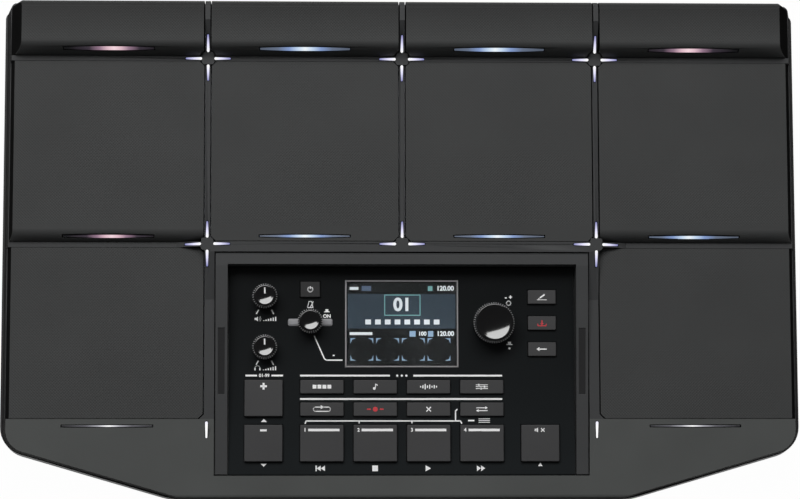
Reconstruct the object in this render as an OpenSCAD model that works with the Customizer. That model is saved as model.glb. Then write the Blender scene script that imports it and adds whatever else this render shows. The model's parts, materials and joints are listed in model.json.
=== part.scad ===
// Electronic percussion pad: a table-top instrument with ten rubber striking pads, light slits
// between them and a control panel with a screen, buttons and knobs. Sizes are in millimetres.
// +Z is up, +X is the player's right, +Y is the rear. The origin is on the table under the middle.
// Most pieces lie in the deck frame: x to the right, v up the sloping deck, w square to it,
// with w = 0 on the joint between the two housing halves.

/* [Housing] */
// Width of the housing
body_w = 426; // [410:1:450]
// Depth of the housing, front to rear
body_d = 262; // [250:1:290]
// Tilt of the playing deck towards the player, in degrees
deck_tilt = 4.5; // [3:0.5:6]
// Height of the joint between the housing halves at mid depth
part_h = 26.5; // [24:0.5:32]
// Thickness of the housing walls
wall_t = 3; // [2.4:0.1:3.6]
// Thickness of the housing floor
floor_t = 2.5; // [2:0.1:4]
// Radius of the rear corners
rear_corner_r = 4; // [3:0.5:8]
// Distance between the two bends in the front edge
front_bend_w = 239; // [230:1:270]
// Angle of the slanted front edges, in degrees
front_slant = 16.4; // [14:0.1:19]
// Radius of the bends in the front edge
front_bend_r = 60; // [40:1:80]
// Radius of the outer front corners
front_corner_r = 15; // [10:1:22]
// Radius of the upper housing's front edge
front_edge_r = 2.5; // [1.5:0.5:4]
// Step from the lower housing in to the upper one, at the sides
side_step = 1.2; // [0.8:0.1:2]
// Inward lean of the upper housing's sides, per unit of height
side_lean = 0.2; // [0.16:0.01:0.26]
// Radius of the rear corners of the upper housing and its pads
upper_corner_r = 3.5; // [3:0.5:6]
// Radius of the outer front corners of the upper housing
upper_front_r = 12; // [9:1:14]
// Height of the plinth under the lower housing
plinth_h = 3; // [2:0.5:5]
// Step in from the housing's outline to its plinth
plinth_in = 2.5; // [1:0.5:4]
// Height of the rubber feet
foot_h = 5; // [3:0.5:8]
// Radius of the rubber feet
foot_r = 10; // [7:0.5:13]

/* [Pads] */
// Depth from the rear face to the middle of the rear strip
rear_row_d = 28.9; // [27:0.1:34]
// Depth from the front face to the lower pads
apron_d = 41.9; // [39:0.1:46]
// Height of the rear pads' crest above the housing joint
crest_level = 33; // [30:0.5:38]
// Height of the upper pads above the housing joint
upper_level = 23.5; // [22:0.5:26]
// Height of the lower pads above the housing joint
lower_level = 18; // [17:0.5:20]
// Height of the apron's front edge above the housing joint
apron_level = 13.5; // [12.5:0.5:15]
// Depth of the curved nose on the upper pads
nose_d = 7; // [6:0.5:9]
// Depth of the curved nose on the rear pads
rim_d = 7; // [6:0.5:9]
// Depth of the rounding behind the rear pads' crest
rim_back_d = 5; // [4:0.5:8]
// Height of the rounding behind the rear pads' crest
rim_back_h = 8; // [6:0.5:11]
// Step from the housing's rear face in to the rear pads
rim_step = 0.4; // [0.3:0.1:1]
// Width of the strips between the pads
strip_w = 2.7; // [2.6:0.1:3.6]
// Gap between a pad and the strips beside it
pad_gap = 0.6; // [0.5:0.05:0.8]
// Gap between a pad and the strips before and behind it
end_gap = 0.2; // [0.2:0.05:0.4]
// Inward lean of the pads' outer sides, per unit of height
pad_lean = 0.45; // [0.38:0.01:0.5]
// Step from the housing's side in to the pads
pad_step = 0.3; // [0.2:0.05:0.6]
// Drop from the pads to the strips
strip_drop = 0.4; // [0.2:0.1:1]
// Cut across the corners of the pads
pad_corner = 2.5; // [1.5:0.1:3.5]
// Thickness of the pads above their sensors
pad_t = 8; // [7:0.1:8.5]
// Thickness of a pad's lip where it covers the housing's side
pad_lip = 5.5; // [4.5:0.1:6]
// Travel of a pad when it is struck
pad_travel = 0.5; // [0.3:0.1:0.8]
// Thickness of the pressure sensor films
film_t = 0.4; // [0.2:0.1:0.8]
// Thickness of the steel plates under the sensors
plate_t = 1.5; // [1:0.1:2]

/* [Lights] */
// Length of the light slits in the pads
slit_l = 48; // [30:1:60]
// Width of the light slits at their middle
slit_w = 1.7; // [1.5:0.1:2]
// Width of the apron's light slits at their middle
apron_slit_w = 1.2; // [1.1:0.1:1.5]
// Width of the light slits at their ends
slit_end_w = 0.9; // [0.6:0.1:1]
// Depth of the light bars below the surface round them
slit_recess = 0.4; // [0.2:0.1:0.8]
// Clearance round a light bar
slit_clear = 0.3; // [0.2:0.05:0.4]
// Distance from a strip's middle to the slit behind it
slit_from_strip = 4.1; // [4:0.1:5.5]
// Distance from the lower pads to the slit in the apron
slit_from_pad = 3.9; // [3.2:0.1:5]
// Distance from a strip crossing to the arms of its light
arm_start = 3.2; // [2.5:0.1:4]
// Distance from a strip crossing to the end of each arm
arm_end = 12; // [9:0.5:15]
// Distance from the lower pads to the arms before them
front_arm_gap = 1.5; // [1:0.1:2]
// Width of an arm near the crossing
arm_w = 1.5; // [1.3:0.1:1.7]
// Width of an arm at its outer end
arm_tip_w = 1; // [0.8:0.1:1.2]
// Depth of the light guides in the strips
guide_h = 1.8; // [1.2:0.1:2]
// Height that the light guides stand above the strips
guide_proud = 0.15; // [0.1:0.05:0.3]
// Clearance round a light guide
guide_clear = 0.35; // [0.2:0.05:0.4]

/* [Control panel] */
// Width of the control panel
panel_w = 183; // [176:1:192]
// Depth of the control panel
panel_d = 109.9; // [106:0.1:120]
// Thickness of the control panel
panel_t = 2; // [1.5:0.1:2.5]
// Height of the control panel above the housing joint
panel_level = 13; // [12.5:0.5:14]
// Depth of the housing in front of the panel
front_band = 12.6; // [10:0.1:16]
// Depth from the panel to the middle of the strip behind it
panel_to_strip = 11.4; // [10:0.1:14]
// Width of the bezel beside the panel
bezel_side = 6.4; // [5:0.1:8]
// Width of the bezel behind the panel
bezel_rear = 6.1; // [5:0.1:7]
// Gap between the bezel and the pieces beside it
bezel_gap = 0.6; // [0.4:0.05:0.8]
// Distance from the bezel to the middle of the strip beside it
bezel_to_strip = 4.5; // [4:0.1:7]
// Length of the shallow groove in each side of the bezel
groove_l = 35; // [20:1:50]
// Width of the shallow groove in each side of the bezel
groove_w = 3.6; // [2:0.1:4]
// Depth of the shallow groove in each side of the bezel
groove_h = 0.4; // [0.2:0.1:0.8]
// Distance from the front of the bezel to its grooves
groove_at = 42; // [30:1:50]
// Thickness of the ledge that carries the panel
ledge_t = 3; // [2:0.1:3.5]
// Width of that ledge under the panel's edge
ledge_w = 4; // [2:0.1:5]
// Depth from the panel's face down to its circuit board
board_depth = 8.4; // [8:0.1:9]
// Thickness of the circuit boards
board_t = 1.6; // [1:0.1:2]
// Width of the screen's window
screen_w = 59.9; // [50:0.1:64]
// Depth of the screen's window
screen_d = 46.2; // [38:0.1:48]
// Depth of the window below the panel's face
screen_recess = 0.25; // [0.1:0.05:0.6]

/* [Buttons] */
// Travel of a button
button_travel = 0.5; // [0.3:0.1:0.7]
// Clearance between a button and the panel
button_clear = 0.35; // [0.25:0.05:0.5]
// Width of the mode and function buttons
mode_w = 23; // [18:0.1:25]
// Depth of the mode buttons
mode_d = 7.2; // [6:0.1:8.5]
// Height of the small buttons above the panel
small_h = 1.6; // [1:0.1:2.5]
// Depth of the function, kit and shift buttons
large_d = 19.3; // [16:0.1:20]
// Width of the kit and shift buttons
kit_w = 20.2; // [16:0.1:22]
// Height of the large buttons above the panel
large_h = 2.2; // [1.5:0.1:3.5]
// Width of the edit, write and exit buttons
edit_w = 14.9; // [12:0.1:17]
// Depth of the edit, write and exit buttons
edit_d = 7.4; // [6:0.1:9]
// Width of the power button
power_w = 10.5; // [8:0.1:13]
// Depth of the power button
power_d = 8.3; // [6:0.1:9]
// Pitch of the mode and function button columns
mode_pitch = 28.2; // [27.5:0.1:30]

/* [Knobs] */
// Radius of the knob shafts
shaft_r = 3; // [2.5:0.1:3.2]
// Clearance of a shaft in its bearing and of a knob on its shaft
shaft_clear = 0.05; // [0.02:0.01:0.09]
// Radius of the small knobs at the skirt
knob_r = 6.6; // [5.5:0.1:8]
// Height of the small knobs
knob_h = 9.6; // [8:0.1:13]
// Radius of the value knob at the skirt
value_r = 10.9; // [9:0.1:12]
// Height of the value knob
value_h = 11.6; // [10:0.1:15]
// Width of the flat land round a knob's dished top
knob_rim = 1.2; // [0.8:0.1:1.8]
// Depth of the dish in a small knob's top
knob_dish = 0.9; // [0.4:0.1:1.5]
// Depth of the dish in the value knob's top
value_dish = 1.8; // [0.8:0.1:2]
// Travel of a knob that can be pushed
push_travel = 0.6; // [0.3:0.1:0.8]
// Length of the metronome lamp
lamp_l = 23.7; // [19:0.1:26]
// Width of the metronome lamp
lamp_w = 4; // [3:0.1:5]

/* [Connections and mounts] */
// Radius of the plug hole in the jack sockets
jack_r = 3.25; // [3.2:0.05:3.5]
// Radius of the threaded neck of the jack sockets
neck_r = 4.5; // [4.2:0.1:5]
// Length of the neck outside the housing
neck_out = 3.4; // [3:0.1:5]
// Radius of the jack nuts
nut_r = 6.4; // [5.6:0.1:7]
// Thickness of the jack nuts
nut_t = 2.2; // [1.5:0.1:3]
// Distance between neighbouring jack sockets
jack_pitch = 22; // [19:0.5:24]
// Distance across the stand bolts, left to right
stand_x = 120; // [100:1:140]
// Distance across the stand bolts, front to rear
stand_y = 80; // [60:1:90]
// Radius of the stand inserts' threaded hole
insert_bore_r = 2.1; // [1.6:0.05:2.5]
// Radius of the stand inserts
insert_r = 3.5; // [3:0.1:4]
// Length of the stand inserts
insert_l = 9; // [6:0.5:12]
// Radius of the screws' shanks
screw_r = 1.5; // [1.2:0.1:1.8]
// Radius of the screws' heads
screw_head_r = 2.8; // [2.3:0.1:3.2]

/* [Hidden] */
$fn = 48;
// Steps in each rounded corner of the outline
corner_steps = 8;
// Height that clears the whole part
clear_h = 90;
// Least radius of a corner that is moved in
least_corner_r = 1;
// Running clearance between fixed pieces that meet side by side
fit = 0.5;

half_w = body_w / 2;
half_d = body_d / 2;
body_y = -neck_out / 2;
floor_z = foot_h + floor_t;

// Strips: the middle of the rear one, of the one behind the panel, and of those beside the panel
rear_v = half_d - rear_row_d;
panel_front = -half_d + front_band;
panel_back = panel_front + panel_d;
panel_mid = (panel_front + panel_back) / 2;
mid_v = panel_back + panel_to_strip;
pad_front = -half_d + apron_d;
bezel_x = panel_w / 2 + bezel_gap + bezel_side;
bezel_v = panel_back + bezel_gap + bezel_rear;
pocket_x = bezel_x + bezel_gap;
pocket_v = bezel_v + bezel_gap;
side_x = bezel_x + bezel_to_strip;
strip_h = strip_w / 2;

// Levels in the deck frame
travel_spare = 0.1;
film_gap = pad_travel + travel_spare;
lip_gap = pad_travel + slit_clear;
upper_under = upper_level - pad_t;
lower_under = lower_level - pad_t;
upper_plate = upper_under - film_gap - film_t;
lower_plate = lower_under - film_gap - film_t;
upper_skirt = upper_level - pad_lip - lip_gap;
lower_skirt = lower_level - pad_lip - lip_gap;
side_inner = half_w - side_step - side_lean * upper_skirt - wall_t;
ledge = panel_level - panel_t;
board_top = panel_level - board_depth;
board_under = board_top - board_t;
apron_back = pad_front - slit_from_pad - apron_slit_w - wall_t;

// The noses rise fast at their foot and level out: their steepness, and steps along every curve
nose_power = 3;
curve_steps = 12;
// Reach of the rear pads' rounding past half the housing's depth, along the deck
rim_over = 2;
rim_v = half_d + rim_over;
foot_v = strip_h + end_gap;
// Length of the ramps that join the two levels of the strips: beside the pads, beside the panel, at the rear
ramp_l = 15;
front_ramp_l = 25;
rim_ramp_l = 18;

function unit(a) = a / norm(a);
function corner(a, p, b, r) =
    let (u = unit(a - p), t = unit(b - p), half = acos(u * t) / 2)
    let (mid = p + unit(u + t) * r / sin(half), run = r / tan(half))
    let (from = p + u * run - mid, to = p + t * run - mid)
    let (start = atan2(from.y, from.x), turn = (atan2(to.y, to.x) - start + 540) % 360 - 180)
    [for (i = [0 : corner_steps]) let (q = start + turn * i / corner_steps) mid + r * [cos(q), sin(q)]];
function rounded(points, radii) =
    let (n = len(points))
    [for (i = [0 : n - 1]) each corner(points[(i + n - 1) % n], points[i], points[(i + 1) % n], radii[i])];

// Outline of the housing seen from above, moved in by a distance
function outline(inset) =
    let (w = half_w - inset, d = half_d - inset)
    let (x = front_bend_w / 2 - inset * tan(front_slant / 2))
    let (y = -half_d + (w - front_bend_w / 2) * tan(front_slant) + inset / cos(front_slant))
    let (rear = max(rear_corner_r - inset, least_corner_r))
    let (front = front_corner_r - inset, bend = front_bend_r - inset)
    rounded([[-x, -d], [x, -d], [w, y], [w, d], [-w, d], [-w, y]], [bend, bend, front, rear, rear, front]);

// Line along the deck from front to rear: apron, lower pads, noses, crest and rear rounding
function nose(v, depth, low, high) =
    [for (i = [0 : curve_steps]) let (t = i / curve_steps)
        [v + t * depth, high - (high - low) * (1 - t) ^ nose_power]];
function mid_nose() = nose(mid_v + foot_v, nose_d, lower_level, upper_level);
function rim_nose() = nose(rear_v + foot_v, rim_d, upper_level, crest_level);
function rim_back() =
    [for (i = [1 : curve_steps]) let (a = 90 * i / curve_steps)
        [rim_v - rim_step - rim_back_d * (1 - sin(a)), crest_level - rim_back_h * (1 - cos(a))]];
function front_edge() =
    [for (i = [0 : curve_steps]) let (a = 90 * i / curve_steps)
        [-half_d + front_edge_r * (1 - cos(a)), apron_level - front_edge_r * (1 - sin(a))]];
function lowered(points, d) = [for (p = points) [p.x, p.y - d]];
function deck_line(d) = concat(
    lowered(front_edge(), d),
    lowered([[pad_front - end_gap, lower_level]], d + strip_drop),
    lowered(mid_nose(), d + strip_drop),
    lowered([[rear_v + strip_h, upper_level], [rear_v + strip_h + rim_ramp_l, crest_level]], d + strip_drop),
    lowered(rim_back(), d + strip_drop));
function apron_at(v) =
    let (a = -half_d + front_edge_r, b = pad_front - end_gap)
    apron_level + (lower_level - strip_drop - apron_level) * (v - a) / (b - a);

module deck() translate([0, body_y, part_h]) rotate([deck_tilt, 0, 0]) children();
module along_x(a, b) translate([a, 0, 0]) rotate([90, 0, 90]) linear_extrude(b - a) children();
module along_v(a, b) translate([0, b, 0]) rotate([90, 0, 0]) linear_extrude(b - a) children();
module along_w(a, b) translate([0, 0, a]) linear_extrude(b - a) children();
module box(x, v, w) translate([x[0], v[0], w[0]]) cube([x[1] - x[0], v[1] - v[0], w[1] - w[0]]);
module at(x, v, w) translate([x, v, w]) children();
module block(x, v, size_x, size_v, w)
    box([x - size_x / 2, x + size_x / 2], [v - size_v / 2, v + size_v / 2], w);
// Places a piece on the level housing, at a point of its plan
module stand(p, z) translate([p.x, p.y + body_y, z]) children();
// Draws a piece and its mirror image
module both_sides() for (s = [0, 1]) mirror([s, 0, 0]) children();

// Housing outline as a solid between two heights
module housing(inset, z0, z1) translate([0, body_y, z0]) linear_extrude(z1 - z0) polygon(outline(inset));
module below_joint() deck() box([-body_w, body_w], [-body_d, body_d], [-clear_h, 0]);

// Space between two sides that lean in from their feet on the joint, with round front and rear corners
module leaning_side(foot, lean, rear) {
    far = -2 * body_w;
    front = -half_d + (foot - front_bend_w / 2) * tan(front_slant);
    inmost = [far, front + far * tan(front_slant)];
    translate([foot, 0, 0]) rotate([0, -atan(lean), 0]) along_w(-part_h, clear_h - far * lean)
        polygon(concat([[far, rear], inmost],
            corner(inmost, [0, front], [0, rear], upper_front_r),
            corner([0, front], [0, rear], [far, rear], upper_corner_r)));
}
module leaning(foot, lean, rear) intersection() {
    leaning_side(foot, lean, rear);
    mirror([1, 0, 0]) leaning_side(foot, lean, rear);
}
// Space inside the upper housing's outer faces
module upper_volume() intersection() {
    housing(0, foot_h, part_h + clear_h);
    deck() leaning(half_w - side_step, side_lean, rim_v);
}
// Space inside the upper housing's walls
module inner_volume(inset) intersection() {
    housing(wall_t + inset, foot_h, part_h + clear_h);
    translate([0, body_y, 0])
        box([inset - side_inner, side_inner - inset], [-body_d, body_d], [0, part_h + clear_h]);
}
// Solid under the surface of the strips and the apron, lowered by a distance
module under_strips(d) {
    outer = side_x + strip_h;
    low = lower_level - strip_drop - d;
    high = upper_level - strip_drop - d;
    along_x(-half_w, half_w)
        polygon(concat(deck_line(d), [[rim_v, upper_skirt], [rim_v, 0], [-half_d, 0]]));
    along_v(pocket_v, mid_v + strip_h)
        polygon([
            [-outer - ramp_l, 0], [outer + ramp_l, 0], [outer + ramp_l, low],
            [outer, high], [-outer, high], [-outer - ramp_l, low]]);
    both_sides() along_x(pocket_x, outer)
        polygon([
            [pocket_v - front_ramp_l, 0], [pocket_v, 0], [pocket_v, high], [pocket_v - front_ramp_l, low]]);
    for (x = [-side_x, 0, side_x]) box([x - strip_h, x + strip_h], [mid_v, rear_v], [0, high]);
}

// Pads: row 0 is at the rear, row 2 is beside the panel; columns run from left to right
pad_columns = [
    [-body_w, -side_x - strip_h], [-side_x + strip_h, -strip_h],
    [strip_h, side_x - strip_h], [side_x + strip_h, body_w]];
pad_rows = [
    [rear_v + strip_h, body_d], [mid_v + strip_h, rear_v - strip_h],
    [pad_front - end_gap, mid_v - strip_h]];
pad_under = [upper_under, upper_under, lower_under];
pad_plate = [upper_plate, upper_plate, lower_plate];
pad_skirt = [upper_skirt, upper_skirt, lower_skirt];
pads = concat(
    [for (c = [0 : 3]) [str("rear_pad_", c + 1), 0, c]],
    [for (c = [0 : 3]) [str("upper_pad_", c + 1), 1, c]],
    [["lower_pad_left", 2, 0], ["lower_pad_right", 2, 3]]);

module pad_plan(row, col, side, end) {
    x = [pad_columns[col][0] + side, pad_columns[col][1] - side];
    v = [pad_rows[row][0] + end, pad_rows[row][1] - end];
    c = pad_corner;
    polygon([
        [x[0] + c, v[0]], [x[1] - c, v[0]], [x[1], v[0] + c], [x[1], v[1] - c],
        [x[1] - c, v[1]], [x[0] + c, v[1]], [x[0], v[1] - c], [x[0], v[0] + c]]);
}
function pad_line(row, col) =
    row == 0 ? concat(rim_nose(), rim_back()) :
    row == 1 && (col == 0 || col == 3) ? concat(mid_nose(), [[rear_v, upper_level]]) :
    row == 1 ? [[mid_v, upper_level], [rear_v, upper_level]] :
    [[-half_d, lower_level], [mid_v, lower_level]];
// Everything outside the walls and below a pad's lip, which the pad leaves to the housing
module lip_cut(inset, level) difference() {
    deck() box([-body_w, body_w], [-body_d, body_d], [0, level]);
    inner_volume(inset);
}
module pad_pocket(row, col) difference() {
    deck() along_w(pad_plate[row], clear_h) pad_plan(row, col, 0, 0);
    lip_cut(0, pad_skirt[row]);
}
module pad(row, col) {
    line = pad_line(row, col);
    lip = pad_skirt[row] + lip_gap;
    foot = half_w - side_step - pad_step + (pad_lean - side_lean) * lip;
    ends = [[line[len(line) - 1].x, pad_under[row]], [line[0].x, pad_under[row]]];
    color([0.16, 0.165, 0.16]) difference() {
        intersection() {
            deck() leaning(foot, pad_lean, rim_v - rim_step);
            deck() along_w(pad_under[row], clear_h) pad_plan(row, col, pad_gap, end_gap);
            deck() along_x(-half_w, half_w) polygon(concat(line, ends));
        }
        lip_cut(fit, lip);
        deck() for (s = slits) if (s[2] == row)
            at(s[0], s[1], 0) along_w(0, clear_h) slit_plan(slit_w, slit_clear);
    }
}

// Light slits: one in the nose of each rear and upper pad, and one in the apron before each lower pad
column_x = [for (c = pad_columns) (max(c[0], -2 * side_x) + min(c[1], 2 * side_x)) / 2];
slits = concat(
    [for (x = column_x) [x, rear_v + slit_from_strip, 0]],
    [for (x = column_x) [x, mid_v + slit_from_strip, 1]],
    [for (c = [0, 3]) [column_x[c], pad_front - slit_from_pad, 3]]);
slit_steps = 12;
module slit_plan(middle_w, grow) {
    half = slit_l / 2 + grow;
    function wide(t) = slit_end_w / 2 + grow + (middle_w - slit_end_w) / 2 * (1 - t * t);
    polygon(concat(
        [for (i = [0 : slit_steps]) let (t = 2 * i / slit_steps - 1) [t * half, -wide(t)]],
        [for (i = [slit_steps : -1 : 0]) let (t = 2 * i / slit_steps - 1) [t * half, wide(t)]]));
}
module pad_light_bars() color([0.75, 0.78, 0.95]) deck() for (s = slits) {
    col = s[0] < -side_x ? 0 : s[0] > side_x ? 3 : 1;
    line = s[2] == 3 ? deck_line(0) : pad_line(s[2], col);
    base = s[2] == 3 ? lower_plate : upper_plate;
    end = line[len(line) - 1];
    intersection() {
        at(s[0], s[1], 0) along_w(base, clear_h) slit_plan(s[2] == 3 ? apron_slit_w : slit_w, 0);
        along_x(-half_w, half_w)
            polygon(concat(lowered(line, slit_recess), [[end.x, 0], [line[0].x, 0]]));
    }
}

// Arms of light at the strip crossings: place and direction of each
all_ways = [0, 90, 180, 270];
arms = concat(
    [for (x = [-side_x, 0, side_x], a = all_ways) [x, rear_v, a]],
    [for (x = [-side_x, side_x], a = all_ways) [x, mid_v, a]],
    [for (a = [0, 90, 180]) [0, mid_v, a]],
    [for (x = [-side_x, side_x]) [x, pad_front - front_arm_gap + arm_start, 270]]);
module arm_plan(grow) {
    a = arm_w / 2 + grow;
    b = arm_tip_w / 2 + grow;
    x = [arm_start + arm_w / 2, arm_end - arm_tip_w / 2];
    translate([x[0], 0]) circle(a);
    translate([x[1], 0]) circle(b);
    polygon([[x[0], -a], [x[1], -b], [x[1], b], [x[0], a]]);
}
module arm_plans(grow) for (a = arms) translate([a[0], a[1]]) rotate(a[2]) arm_plan(grow);
module guide_slots(grow) difference() {
    along_w(lower_plate, clear_h) arm_plans(grow);
    under_strips(guide_h);
}
module cross_light_guides() color([0.85, 0.85, 1]) deck() intersection() {
    guide_slots(0);
    under_strips(-guide_proud);
}

// Housing screws: across the housing from each side wall, and behind the front wall
boss_r = 4.5;
boss_in = boss_r - 0.6;
boss_h = min(lower_plate - plate_t, board_under + boss_r) - 0.5;
side_screw_y = [half_d - 19, 20, -half_d + 62];
front_screw_x = front_bend_w / 4;
case_screws = concat(
    [for (s = [-1, 1], y = side_screw_y) [s * (side_inner - boss_in), y]],
    [for (s = [-1, 1]) [s * front_screw_x, -half_d + wall_t + boss_in]]);
screw_clear = 0.1;
head_clear = 0.4;
screw_head_h = 2.2;
// Depth of a housing screw's head below the joint, and the length of its shank
head_depth = 5;
shank_l = head_depth + 5.5;
function joint_z(y) = part_h + y * tan(deck_tilt);

// Panel board screws, under the ledge beside the panel
board_screw_in = 0.5;
board_screw_front = 10;
board_screw_rear = 16;
board_screw_v = [panel_front + board_screw_front, panel_mid, panel_back - board_screw_rear];
board_screws = [for (s = [-1, 1], v = board_screw_v) [s * (panel_w / 2 - board_screw_in), v]];
board_boss_r = 3;
board_shank_l = board_t + 4;

module upper_cavity() {
    roof = [[half_d + 2 * wall_t, upper_plate], [mid_v - strip_h, upper_plate]];
    base = [[-body_d, -1], [body_d, -1]];
    a = -half_d + wall_t;
    intersection() {
        inner_volume(0);
        deck() {
            both_sides() along_x(pocket_x, half_w) polygon(concat(base, roof, [
                [mid_v - strip_h, lower_plate], [apron_back, lower_plate],
                [apron_back, apron_at(apron_back) - wall_t],
                [a, apron_at(a) - wall_t], [-body_d, apron_at(a) - wall_t]]));
            along_x(-pocket_x, pocket_x) polygon(concat(base, roof, [
                [mid_v - strip_h, ledge - ledge_t], [-body_d, ledge - ledge_t]]));
        }
    }
}
module top_case() color([0.17, 0.175, 0.17]) difference() {
    union() {
        difference() {
            intersection() {
                upper_volume();
                deck() under_strips(0);
            }
            upper_cavity();
            for (p = pads) pad_pocket(p[1], p[2]);
            deck() {
                box([-pocket_x, pocket_x], [panel_front - bezel_gap, pocket_v], [ledge, clear_h]);
                block(0, panel_mid, panel_w - 2 * ledge_w, panel_d - 2 * ledge_w, [0, clear_h]);
                guide_slots(guide_clear);
                for (s = slits) if (s[2] == 3)
                    at(s[0], s[1], 0) along_w(lower_plate, clear_h) slit_plan(apron_slit_w, slit_clear);
            }
        }
        intersection() {
            for (p = case_screws) stand(p, floor_z) cylinder(r = boss_r, h = clear_h);
            deck() box([-half_w, half_w], [-body_d, body_d], [0, boss_h]);
            housing(wall_t / 2, 0, part_h + clear_h);
        }
        deck() for (p = board_screws) at(p.x, p.y, board_top)
            cylinder(r = board_boss_r, h = ledge - ledge_t / 2 - board_top);
    }
    for (p = case_screws) stand(p, joint_z(p.y) - 1)
        cylinder(r = screw_r + screw_clear, h = shank_l - head_depth + 1.5);
    deck() for (p = board_screws) at(p.x, p.y, board_top - 1)
        cylinder(r = screw_r + screw_clear, h = board_shank_l - board_t + 1.5);
}

// Lower housing, with posts for the plates, the main board and the screws
plate_posts = concat(
    [for (x = [side_x + 8, side_inner - 18], y = [mid_v + 22, rear_v - 4], s = [-1, 1])
        [s * x, y, upper_plate]],
    [for (x = [side_x + 12, side_inner - 18], y = [mid_v - 28, pad_front + 6], s = [-1, 1])
        [s * x, y, lower_plate]]);
post_r = 4;
// Main board: half its width, its distances from the middle strip and the rear wall, and its posts
main_x = 94;
main_front = 17;
main_rear = 13;
main_lift = 1;
main_y = [mid_v + main_front, half_d - wall_t - main_rear];
main_z = foot_h + insert_l + floor_t + main_lift;
main_post_r = 3.5;
main_post_in = 6;
main_post_rear = 24;
main_post_y = [main_y[0] + main_post_in, main_y[1] - main_post_rear];
main_posts = [for (s = [-1, 1], y = main_post_y) [s * (main_x - main_post_in), y]];
main_shank_l = board_t + 4;
stand_at = [for (x = [-1, 1], y = [-1, 1]) [x * stand_x / 2, y * stand_y / 2 - body_y]];
stand_boss_r = insert_r + 2.5;
foot_at = [
    [-half_w + 32, half_d - 30], [half_w - 32, half_d - 30],
    [-half_w + 40, -half_d + 56], [half_w - 40, -half_d + 56], [0, -half_d + 24]];
// Main board top, where the sockets stand, and the height of the socket axes
socket_z = main_z + board_t;
jack_rise = 7.4;
jack_z = socket_z + jack_rise;
jack_in = 12;
jack_x = [for (i = [0 : 5]) -main_x + jack_in + i * jack_pitch];
usb_in = 38;
usb_x = main_x - usb_in;
power_in = 15;
power_x = main_x - power_in;
inner_y = half_d - wall_t + body_y;
outer_y = half_d + body_y;
usb_size = [12, 10.8];
power_size = [9.5, 11];
socket_clear = 0.2;

module bottom_case() color([0.09, 0.09, 0.095]) difference() {
    union() {
        difference() {
            intersection() {
                union() {
                    housing(plinth_in, foot_h, foot_h + plinth_h + 1);
                    housing(0, foot_h + plinth_h, part_h + clear_h);
                }
                below_joint();
            }
            housing(plinth_in + wall_t, floor_z, foot_h + plinth_h + wall_t);
            housing(wall_t, foot_h + plinth_h + wall_t, part_h + clear_h);
        }
        intersection() {
            for (p = case_screws) stand(p, foot_h) cylinder(r = boss_r, h = clear_h);
            below_joint();
            housing(wall_t / 2, 0, part_h + clear_h);
        }
        for (p = plate_posts) intersection() {
            stand(p, foot_h) cylinder(r = post_r, h = clear_h);
            deck() box([-half_w, half_w], [-body_d, body_d], [-clear_h, p.z - plate_t]);
        }
        for (p = main_posts) stand(p, foot_h) cylinder(r = main_post_r, h = main_z - foot_h);
        for (p = stand_at) stand(p, foot_h) cylinder(r = stand_boss_r, h = insert_l + floor_t);
    }
    for (p = case_screws) stand(p, 0) {
        cylinder(r = screw_head_r + head_clear, h = joint_z(p.y) - head_depth);
        cylinder(r = screw_r + screw_clear, h = clear_h);
    }
    for (p = main_posts) stand(p, floor_z) cylinder(r = screw_r + screw_clear, h = main_z);
    for (p = stand_at) stand(p, 0) cylinder(r = insert_r + screw_clear, h = foot_h + insert_l);
    for (x = jack_x) translate([x, inner_y - 1, jack_z]) rotate([-90, 0, 0])
        cylinder(r = neck_r + socket_clear, h = wall_t + 2);
    for (s = [[usb_x, usb_size], [power_x, power_size]])
        translate([s[0] - s[1].x / 2 - socket_clear, inner_y - 1, socket_z - socket_clear])
            cube([s[1].x + 2 * socket_clear, wall_t + 2, s[1].y + 2 * socket_clear]);
}

module pad_base_plates() color([0.6, 0.61, 0.63]) intersection() {
    inner_volume(fit);
    deck() {
        box([-half_w, half_w], [mid_v, body_d], [upper_plate - plate_t, upper_plate]);
        both_sides() box([pocket_x + fit, half_w], [apron_back + fit, mid_v - strip_h - fit],
            [lower_plate - plate_t, lower_plate]);
    }
}
// Margin of each sensor film inside its pad
film_in = 6;
module pressure_sensors() color([0.72, 0.55, 0.2]) deck() for (p = pads) {
    row = p[1];
    x = pad_columns[p[2]];
    front = row == 2 ? pad_front : pad_rows[row][0] + slit_from_strip + slit_w;
    box([max(x[0], -side_inner) + film_in, min(x[1], side_inner) - film_in],
        [front + film_in / 2, min(pad_rows[row][1], half_d - wall_t) - film_in / 2],
        [pad_plate[row], pad_plate[row] + film_t]);
}

// Level of the bezel's rear bar, just under the pads, and the chamfer behind it
bezel_top = upper_level - 0.2;
bezel_edge = 1.2;
module bezel_side_line(d) polygon(lowered([
    [panel_front, apron_at(panel_front) + guide_proud], [panel_back, bezel_top],
    [bezel_v - bezel_edge, bezel_top], [bezel_v, bezel_top - bezel_edge],
    [bezel_v, d], [panel_front, d]], d));
module panel_bezel() color([0.165, 0.165, 0.165]) deck() difference() {
    intersection() {
        along_x(-bezel_x, bezel_x) bezel_side_line(0);
        box([-bezel_x, bezel_x], [panel_front, bezel_v], [ledge, clear_h]);
    }
    inner = panel_w / 2 + bezel_gap;
    groove_x = bezel_x - bezel_side / 2;
    groove_v = panel_front + groove_at + groove_l / 2;
    box([-inner, inner], [-body_d, panel_back + bezel_gap], [0, clear_h]);
    both_sides() difference() {
        block(groove_x, groove_v, groove_w, groove_l, [ledge, clear_h]);
        along_x(-bezel_x, bezel_x) bezel_side_line(groove_h);
    }
}

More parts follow.
